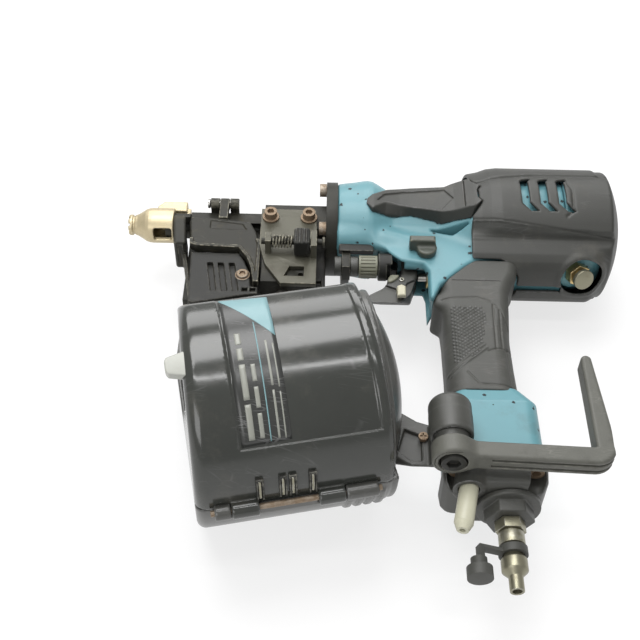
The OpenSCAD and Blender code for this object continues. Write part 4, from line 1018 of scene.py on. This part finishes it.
APRON = [(-90.6, -31), (-61, -31.4), (-57, -38), (-54, -46), (-52, -59), (-47.6, -59.6), (-47.6, -64.6),
    (-58.6, -66.6), (-84.6, -73), (-88.6, -72)]
STAY = [(6, -146), (30, -149), (44, -158.5), (56, -162.4), (72, -162.4), (72, -187.6), (40, -187.6),
    (24, -178), (6, -176)]
STAY_PAD = [(50, -163), (70, -163), (70, -187.4), (50, -187.4)]
STAY_POCKET = [(37, -164), (46, -168), (46, -184), (40, -184), (33, -178)]
TIP_WEDGE = [(-117, 9.6), (-116.4, 14), (-112.6, 18.2), (-97.4, 18.4), (-97.2, 9.6)]
CLIPS = (-23.5, -12, -7, 3)
TIP_X = (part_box("contact_tip")[0].x - ORIGIN.x) / MM
TIP_ROUND = [(-2, 6.2), (0, 6.2), (0.8, 6.7), (2.6, 6.7), (3.0, 5.9), (4.1, 5.9), (4.5, 6.5), (6.0, 6.9),
    (8.6, 8.5), (11.4, 10.3), (13.6, 11.0), (15.6, 11.2), (40, 11.2)]


def from_rod(y, z):
    return np.hypot(y - DIAL_AT[0], z - DIAL_AT[1])


def dial_room(x, y, z):
    return both(from_rod(y, z) - 7.5, x - 39.2)


def trigger_shape(x, y, z):
    body = cut(plate(x, y, z, TRIGGER, -8, 8, 2.0), dial_room(x, y, z), 0.6)
    body = soft_max(body, (-70 + 0.8 * (8 - z) - y) * 0.78, 1.5)
    body = cut(body, both(outline(x, y, TRIGGER_STEP), 6.2 - z), 0.6)
    body = cut(body, both(outline(x, y, TRIGGER_HOLLOW), np.abs(z) - 4), 0.6)
    return cut(body, both(np.hypot(x - 39.6, y + 50.6) - 1.2, 7.4 - z), 0.4)


def mode_shape(x, y, z):
    body = plate(x, y, z, MODE_TAB, 8.1, 11.6, 1.2)
    return soft_min(body, rod(x, y, z, 38.5, -59.6, 2.4, 0, 9.6, 0.5), 0.8)


def thumb_oval(x, y, z):
    u = (x - 34.6) * 0.64 + (y + 49.4) * 0.77
    v = (y + 49.4) * 0.64 - (x - 34.6) * 0.77
    oval = rounded((np.hypot(u / 5.0, v / 2.3) - 1) * 2.3, within(z, 6.6, 9.4), 0.9)
    return cut(oval, dial_room(x, y, z), 0.3)


def selector_shape(x, y, z):
    bar = rounded(both(within(x, 43.8, 59.4), within(y, -35.8, -30.8)), within(z, 18, 27), 1.3)
    body = soft_min(bar, rod(x, y, z, 54.2, -36.5, 6.0, 18, 22.6, 1.2), 2.2)
    return either(body, rod(x, y, z, 54, -36.5, 3.3, 5, 19, 0.4))


def door_shape(x, y, z):
    body = plate(x, y, z, DOOR, 4.5, 10.7, 1.8)
    rim = both(np.abs(outline(x, y, DOOR) + 1.0) - 1.0, within(z, 9, 11.9))
    body = soft_min(body, both(rim, y + 22), 0.9)
    body = cut(body, both(outline(x, y, [(-80, -5), (-60, -8), (-57, -13), (-80, -12)]), 10.0 - z), 0.8)
    lug = both(within(x, -75.2, -69.6), within(y, -4, HINGE_Y), within(z, HINGE_Z - 3, HINGE_Z + 3.4))
    body = soft_min(body, lug, 1.0)
    body = soft_min(body, rod(y, z, x, HINGE_Y, HINGE_Z, 3.6, -75.3, -69.5, 0.6), 0.8)
    return cut(body, np.hypot(y - HINGE_Y, z - HINGE_Z) - 2.15)


def apron_shape(x, y, z):
    body = plate(x, y, z, APRON, 4.5, 8.4, 0.9)
    lean = x + 0.165 * (y + 40)
    for at in (-78, -71.4, -64.6):
        body = cut(body, both(np.abs(lean - at) - 1.75, within(y, -63, -40), 5.8 - z), 0.5)
    for at in (-55.4, -50.6):
        body = cut(body, both(np.abs(x - at) - 1.7, within(y, -63.4, -60.4), 5.8 - z), 0.4)
    return body


def knob_shape(x, y, z):
    body = rounded(within(x, -26.4, -16.8), within(y, -41.4, -28.2), 1.6)
    body = rounded(body, within(z, 16.4, 29), 1.6)
    for at in (-24.2, -21.6, -19):
        body = cut(body, both(np.abs(x - at) - 0.5, 28.4 - z), 0.4)
    return cut(body, np.hypot(y + 34, z - 22) - 2.3)


def stay_shape(x, y, z):
    c, n = math.cos(DRUM_TILT), math.sin(DRUM_TILT)
    u, v, w = x - DRUM_AT[0], y - DRUM_AT[1], z - DRUM_AT[2]
    s, r = u * c + v * n, np.hypot(v * c - u * n, w)
    body = plate(x, y, z, STAY, -12, 12, 1.6)
    body = soft_min(body, plate(x, y, z, STAY_PAD, 8, 25, 1.4), 2)
    body = cut(body, plate(x, y, z, STAY_POCKET, 9.4, 20, 0.8), 0.8)
    drum = either(drum_dome(s, r, 96.8), both(r - 62.6, s - 48.8))
    body = cut(body, drum, 0.8)
    body = soft_max(body, (-188.4 + 0.87 * (12 - z) - y) * 0.75, 1.2)
    return both(body, 11.6 - from_post(x, z))


# A dark lip over the push rod, partly the bracket there and partly a painted gap shadow between the barrel
# and the rod
def rod_lip_and_gap_shadow(x, y, z):
    body = rounded(within(x, 1, 22.4), both(within(y, -34.6, -29), within(z, 9, 16)), 1.0)
    return soft_max(body, both(28.0 - np.hypot(y, z), 9.3 - from_rod(y, z)), 0.6)


def rod_sleeve(x, y, z):
    body = soft_max(rod(y, z, x, *DIAL_AT, 8.5, 25.2, 33.6, 0.6), either(x - 30.4, -44.8 - y), 0.4)
    return both(body, 7.3 - from_rod(y, z))


def rod_bracket(x, y, z):
    body = rounded(within(x, 28.5, 38.4), both(within(y, -33.4, -20), within(z, -10, -1.6)), 1.2)
    return both(body, 24.2 - np.hypot(y, z))


def trigger_ring(x, y, z):
    ring = rod(x, y, z, 39.6, -50.6, 1.5, 7.2, 8.6, 0.3)
    return soft_max(ring, 0.7 - np.hypot(x - 39.6, y + 50.6), 0.2)


def tip_body(x, y, z):
    r, at = np.hypot(y, z), x - TIP_X
    body = soft_max((r - along(at, TIP_ROUND)) * 0.88, within(at, 0, 29.4), 0.6)
    wing = rounded(within(at, 22.7, 38.7), both(within(y, 9.5, 14.5), within(z, -10, 2)), 0.8)
    body = soft_min(body, wing, 0.8)
    bore = either(both(r - 4.6, at - 14), both(r - 8.5, within(at, 13, 60)))
    turn = np.degrees(np.arctan2(y, z))
    slot = rounded(within(at, 16.8, 28.4), np.abs(turn + 79) * DEGREE * 11 - 4.6, 1.8)
    body = cut(body, both(slot, 7 - r), 0.5)
    notch = np.abs(np.mod(turn + 22.5, 45) - 22.5) * DEGREE * 6 - 0.8
    return cut(body, either(bore, both(notch, at - 1.2)), 0.4)


def tip_block(x, y, z):
    return plate(x, y, z, TIP_WEDGE, -7.6, 4.4, 1.2)


def feed_bracket(x, y, z):
    body = plate(x, y, z, [(-26, -17.5), (-7, -17.5), (-7, -58), (-26, -58)], -8, 0.4, 1.2)
    return cut(body, plate(x, y, z, [(-17, -46), (-9.4, -46), (-9.4, -54), (-17, -54)], -2, 9, 0.6), 0.6)


def apron_screw(x, y, z):
    u, v = x + 57.4, y + 49.9
    away = np.hypot(u, v)
    body = rounded(away - 3.7, within(z, 7.6, 10.2), 0.8)
    body = soft_min(body, rounded(away - 4.6, within(z, 7.6, 8.8), 0.3), 0.4)
    key = both(np.abs(u), 0.5 * np.abs(u) + 0.866 * np.abs(v)) - 1.7
    return cut(body, both(key, 9 - z), 0.3)


def clip_spots(s, p, q, half, low, high, inner, outer):
    r, turn = drum_polar(p, q)
    across = np.minimum.reduce([np.abs(s - at) + 0 * r for at in CLIPS]) - half
    run = within((turn - 170) * DEGREE * DRUM_R, low, high)
    return rounded(rounded(across, run, 0.4), within(r, inner, outer), 0.4)


def clip_frames(s, p, q):
    body = clip_spots(s, p, q, 2.0, -7, 7, 61.4, 64.4)
    return cut(body, clip_spots(s, p, q, 1.0, -5.8, 9, 62.6, 70), 0.3)


def clip_blades(s, p, q):
    return clip_spots(s, p, q, 0.8, -5.4, 6.4, 62.2, 63.8)


def side_strip(x, y, z):
    lean = x + 0.19 * (y + 26)
    strip = rounded(rounded(within(lean, -97, -94.6), within(y, -70, -14), 0.8), within(z, -8, 6), 0.8)
    foot = rounded(within(x + 0.1 * (y + 16), -102.4, -94.9), within(y, -30, -5), 1.6)
    foot = rounded(foot, within(z, -8, 15), 1.6)
    return soft_min(strip, soft_max(foot, 13.2 - np.hypot(y, z), 0.5), 1.0)


lay_out((
    ("trigger_lever", trigger_shape, (17, -72, -9.5), (51, -29, 9.5), 0.5, PLASTIC, "black_plastic",
        "trigger", "trigger"),
    ("trigger_thumb_oval", thumb_oval, (27, -57, 5.5), (42, -42, 10.5), 0.35, OLIVE, "black_plastic",
        "trigger"),
    ("mode_lever_knob", mode_shape, (34.5, -67, -10.5), (43, -54, 12.5), 0.4, BEIGE, "beige", "mode",
        "mode_lever"),
    ("selector_lever", selector_shape, (42, -44, 4), (61.5, -29, 28.5), 0.45, SELECTOR, "olive",
        "selector", "power_selector"),
    ("guide_door_plate", door_shape, (-95.5, -60, 3), (-46, HINGE_Y + 5, HINGE_Z + 5), 0.55, NOSE_STEEL,
        "nose_steel", "door", "nail_guide_door"),
    ("guide_door_apron", apron_shape, (-92.5, -75, 3.4), (-46.4, -29.5, 9.6), 0.5, SOOTY, "nose_steel",
        "door"),
    ("latch_knob_block", knob_shape, (-28, -43, 15), (-15.4, -26.8, 30.4), 0.5, SOOTY, "black_plastic",
        "latch", "latch_knob"),
    ("stay_bracket", stay_shape, (4, -189.5, -13.5), (73.5, -144, 26.5), 0.7, PLASTIC, "black_plastic",
        "tool", "magazine_stay"),
    # The rod lip is a dark strip that stands partly for a painted gap shadow above the rod
    ("rod_guide_lip", rod_lip_and_gap_shadow, (-0.5, -36, 7.5), (24, -27, 18), 0.5, SOOTY, "black_plastic", "tool"),
    ("rod_sleeve_end", rod_sleeve, (24.2, -50.2, -1.6), (34.8, -31, 17.6), 0.45, SOOTY, "black_plastic",
        "tool"),
    ("rod_bracket", rod_bracket, (27.4, -34.6, -11.2), (39.6, -19, -0.4), 0.5, SOOTY, "black_plastic",
        "tool"),
    ("trigger_pin_ring", trigger_ring, (37.6, -52.6, 6.6), (41.6, -48.6, 9.2), 0.2, PLUG_STEEL,
        "plug_steel", "trigger"),
    ("tip_nozzle", tip_body, (TIP_X - 1, -12.5, -12.5), (TIP_X + 40, 15.5, 12.5), 0.45, TIP_STEEL,
        "tip_plate", "contact", "contact_tip"),
    ("tip_wedge_block", tip_block, (-118.5, 8, -9), (-95.8, 20, 6), 0.5, TIP_STEEL, "tip_plate",
        "contact"),
    ("feed_bracket", feed_bracket, (-27.5, -60, -9.5), (-5.5, -16, 2), 0.55, SOOTY, "nose_steel", "tool"),
    ("apron_screw", apron_screw, (-63, -55.6, 6.8), (-52, -44.4, 11.2), 0.35, RUSTY, "bolt", "door"),
))
lay_out((
    ("hinge_clip_frames", clip_frames, (CLIPS[0] - 4, -66, -6), (CLIPS[-1] + 4, -57, 26), 0.4, SOOTY,
        "gloss_black", "cover"),
    ("hinge_clips", clip_blades, (CLIPS[0] - 3, -66, -6), (CLIPS[-1] + 3, -57, 26), 0.35, PLUG_STEEL,
        "plug_steel", "cover"),
), DRUM)
strip = grown("chute_side_strip", side_strip, (-104.5, -72, -9.5), (-84, -3.5, 16.4), 0.5)
dressed(strip, NOSE_STEEL, "nose_steel", "tool")


# Repeated shapes set out by node trees
def node_tree(name, ins):
    tree = bpy.data.node_groups.new(name, "GeometryNodeTree")
    tree.interface.new_socket(name="Geometry", in_out="INPUT", socket_type="NodeSocketGeometry")
    for label, kind in ins:
        tree.interface.new_socket(name=label, in_out="INPUT", socket_type="NodeSocket" + kind)
    tree.interface.new_socket(name="Geometry", in_out="OUTPUT", socket_type="NodeSocketGeometry")
    return tree, tree.nodes.new("NodeGroupInput").outputs, tree.nodes.new("NodeGroupOutput").inputs


def closed(tree, shape, ins, outs):
    solid = add(tree, "GeometryNodeRealizeInstances", None, Geometry=shape).outputs[0]
    coated = add(tree, "GeometryNodeSetMaterial", None, Geometry=solid, Material=ins["Material"])
    tree.links.new(coated.outputs[0], outs[0])
    return tree


def coil_tree():
    tree, ins, outs = node_tree("wire_coil", (("Radius", "Float"), ("Wire", "Float"), ("Length", "Float"),
        ("Turns", "Float"), ("Material", "Material")))
    path = add(tree, "GeometryNodeCurveSpiral", None, Resolution=24, Rotations=ins["Turns"],
        Start_Radius=ins["Radius"], End_Radius=ins["Radius"], Height=ins["Length"]).outputs[0]
    ring = add(tree, "GeometryNodeCurvePrimitiveCircle", None, Resolution=10,
        Radius=ins["Wire"]).outputs[0]
    tube = add(tree, "GeometryNodeCurveToMesh", None, Curve=path, Profile_Curve=ring,
        Fill_Caps=True).outputs[0]
    return closed(tree, tube, ins, outs)


def setting_tree():
    tree, ins, outs = node_tree("set_out", (("Shape", "Object"), ("Material", "Material")))
    facing = add(tree, "GeometryNodeInputNamedAttribute", {"data_type": "FLOAT_VECTOR"},
        Name="facing").outputs[0]
    turn = add(tree, "FunctionNodeAlignRotationToVector", {"axis": "Z"}, Vector=facing).outputs[0]
    shape = add(tree, "GeometryNodeObjectInfo", None, Object=ins["Shape"]).outputs["Geometry"]
    laid = add(tree, "GeometryNodeInstanceOnPoints", None, Points=ins["Geometry"], Instance=shape,
        Rotation=turn).outputs[0]
    return closed(tree, laid, ins, outs)


COIL, SET_OUT = coil_tree(), setting_tree()


def worked(obj, tree, **values):
    work = obj.modifiers.new("nodes", "NODES")
    work.node_group = tree
    for item in tree.interface.items_tree:
        if item.in_out == "INPUT" and item.name in values:
            work[item.identifier] = values[item.name]
    return baked(obj)


# A wire coil of given radius, wire, length and turns, set at a point along an axis
def coil(node, at, axis, radius, wire, length, turns, joint, anchor, keep):
    obj = worked(link(node + "_wire", bpy.data.meshes.new(node)), COIL, Radius=radius * MM,
        Wire=wire * MM, Length=length * MM, Turns=float(turns), Material=STEEL)
    place = Vector(axis).to_track_quat("Z", "Y").to_matrix().to_4x4()
    obj.data.transform(Matrix.Translation(TOOL @ Vector(at)) @ place)
    obj.data.shade_smooth()
    dressed(obj, NOSE_STEEL if node == "latch_spring" else STEEL, "steel", "tool", node)
    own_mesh(obj)


# Studs stand in staggered columns on both sides of the grip, up to a curved edge and a sloping one
STUD_EDGE = [(-120, 80.0), (-100, 84.5), (-86, 87), (-76, 83)]
STUD_START, STUD_PITCH = (65.6, -79.5), (1.55, 2.5)
STUD_COLUMNS, STUD_ROWS = range(1, 15), range(18)
STUD_HALF, STUD_STRETCH, STUD_TAPER = 1.35, 1.15, 0.62
STUD_FOOT, STUD_SHOULDER, STUD_PEAK = -0.6, 0.42, 0.58
STUD_STEP = 0.2


def stud_shape():
    turns = [math.pi * k / 2 for k in range(4)]
    ring = [(math.cos(a) * STUD_HALF, math.sin(a) * STUD_HALF * STUD_STRETCH) for a in turns]
    foot = [(x, y, STUD_FOOT) for x, y in ring]
    top = [(x * STUD_TAPER, y * STUD_TAPER, STUD_SHOULDER) for x, y in ring]
    sides = [(k, (k + 1) % 4, 4 + (k + 1) % 4, 4 + k) for k in range(4)]
    roof = [(4 + k, 4 + (k + 1) % 4, 8) for k in range(4)]
    points = foot + top + [(0, 0, STUD_PEAK)]
    return made("stud", points, sides + roof, Matrix.Diagonal((MM, MM, MM, 1)))


def grip_studs():
    spots = []
    for i in STUD_COLUMNS:
        for j in STUD_ROWS:
            x = STUD_START[0] + STUD_PITCH[0] * i
            y = STUD_START[1] - STUD_PITCH[1] * j - STUD_PITCH[1] / 2 * (i % 2)
            if x <= along(np.array(y), STUD_EDGE) and y >= -121 + 0.9 * (x - 66) * 0.55:
                spots.append((x, y))
    u, v = np.array(spots).T
    low, high = np.full(len(u), 8.0), np.full(len(u), 21.0)
    for _ in range(24):
        mid = (low + high) / 2
        inside = grip_plain(u, v, mid) < 0
        low, high = np.where(inside, mid, low), np.where(inside, high, mid)
    here = grip_plain(u, v, low)
    tilt = np.column_stack([(grip_plain(u + d, v + e, low + f) - here) / STUD_STEP
                            for d, e, f in STUD_STEP * np.eye(3)])
    points = np.column_stack([u, v, low])
    mirror = (1, 1, -1)
    obj = made("grip_studs", np.vstack([points, points * mirror]).tolist(), [])
    facing = np.vstack([tilt, tilt * mirror])
    towards = obj.data.attributes.new("facing", "FLOAT_VECTOR", "POINT")
    towards.data.foreach_set("vector", facing.astype(np.float32).ravel())
    shape = stud_shape()
    worked(obj, SET_OUT, Shape=shape, Material=GRIP_RUBBER)
    bpy.data.objects.remove(shape)
    dressed(obj, GRIP_RUBBER, "rubber", "tool")


SPRINGS = (
    ("head_valve_spring", (138.2, 0, 0), (1, 0, 0), 13, 1.0, 21.6, 4,
        "head_valve_lift", (160, 0, 0), 0.77),
    ("contact_spring", (-21.6, 17, -10), (1, 0, 0), 2.8, 0.5, 14.2, 7,
        "contact_press", (-7.1, 17, -10), 0.32),
    ("feed_spring", (-33, -18.5, 1), (0, -1, 0), 5.5, 0.7, 7.0, 3,
        "feed_stroke", (-33, -18.1, 1), 1.0),
    ("latch_spring", (-40.1, -34, 22), (1, 0, 0), 3.4, 0.6, 12.7, 7,
        "latch_push", (-40.4, -34, 22), 0.774),
    ("valve_spring", (64.7, -41, 0), (1, 0, 0), 3.3, 0.35, 7.0, 5,
        "plunger_slide", (71.9, -41, 0), 0.78),
)
for row in SPRINGS:
    coil(*row)
grip_studs()


# Pieces worked over from the construction solids
BODY = {node: body for body, held in frame["record"]["behaviour"]["bodies"].items() for node in held}
WORKED = (
    ("steel", NOSE_STEEL, {"latch_shaft": 0.3, "contact_arm": 0.2}),
    ("olive", NOZZLE, {"duster_nozzle": 0.7}),
    ("nose_steel", NOSE_STEEL, {"nose": 0.7, "feeder_block": 0.6, "feed_pawl": 0.5}),
    ("nose_steel", PLATE_STEEL, {"feeder_plate": 0.6}),
    ("steel", STEEL, {"trigger_arm": 0.4, "door_hinge_pin": 0.35, "support_spindle": 0.5,
        "trigger_pin": 0.3, "hook_washer": 0.3, "valve_plunger": 0.25}),
    ("black_plastic", PLASTIC, {"push_rod": 0.5, "dial_sleeve": 0.6, "inlet_bushing": 0.8}),
    ("rubber", GRIP_RUBBER, {"dust_cap": 0.7}),
    ("bolt", SOOTY, {"hook_bolt": 0.35}),
    ("plug_steel", PLUG_STEEL, {"air_plug": 0.35, "duster_button": 0.5}),
    ("brass", BRASS, {"valve_bushing": 0.35, "button_seat": 0.4}),
    ("bolt", RUSTY, {"cover_hinge_pin": 0.35, "nose_bolts": 0.35, "feeder_bolts": 0.35,
        "stay_screw": 0.3, "end_cap_bolts": 0.35}),
    ("olive", OLIVE, {"depth_dial": 0.25, "nail_support": 0.6}),
    ("seal", SEAL, {"end_cap_gasket": 0.3}),
)
# The thin tabs of the contact arm would clamp its bevel to nothing, so that one is not clamped
for slot, look, held in WORKED:
    for node, width in held.items():
        piece = refined(node, width, clamp=node != "contact_arm")
        dressed(piece, look, slot, BODY[node], node, reach=CAD_REACH)
INSIDE = (("cylinder_sleeve", STEEL), ("bumper", SEAL), ("piston", ALLOY), ("piston_seal", SEAL),
          ("driver_blade", STEEL), ("head_valve", BEIGE), ("feed_piston", STEEL))
for node, look in INSIDE:
    nodes[node].data.materials.clear()
    nodes[node].data.materials.append(look)
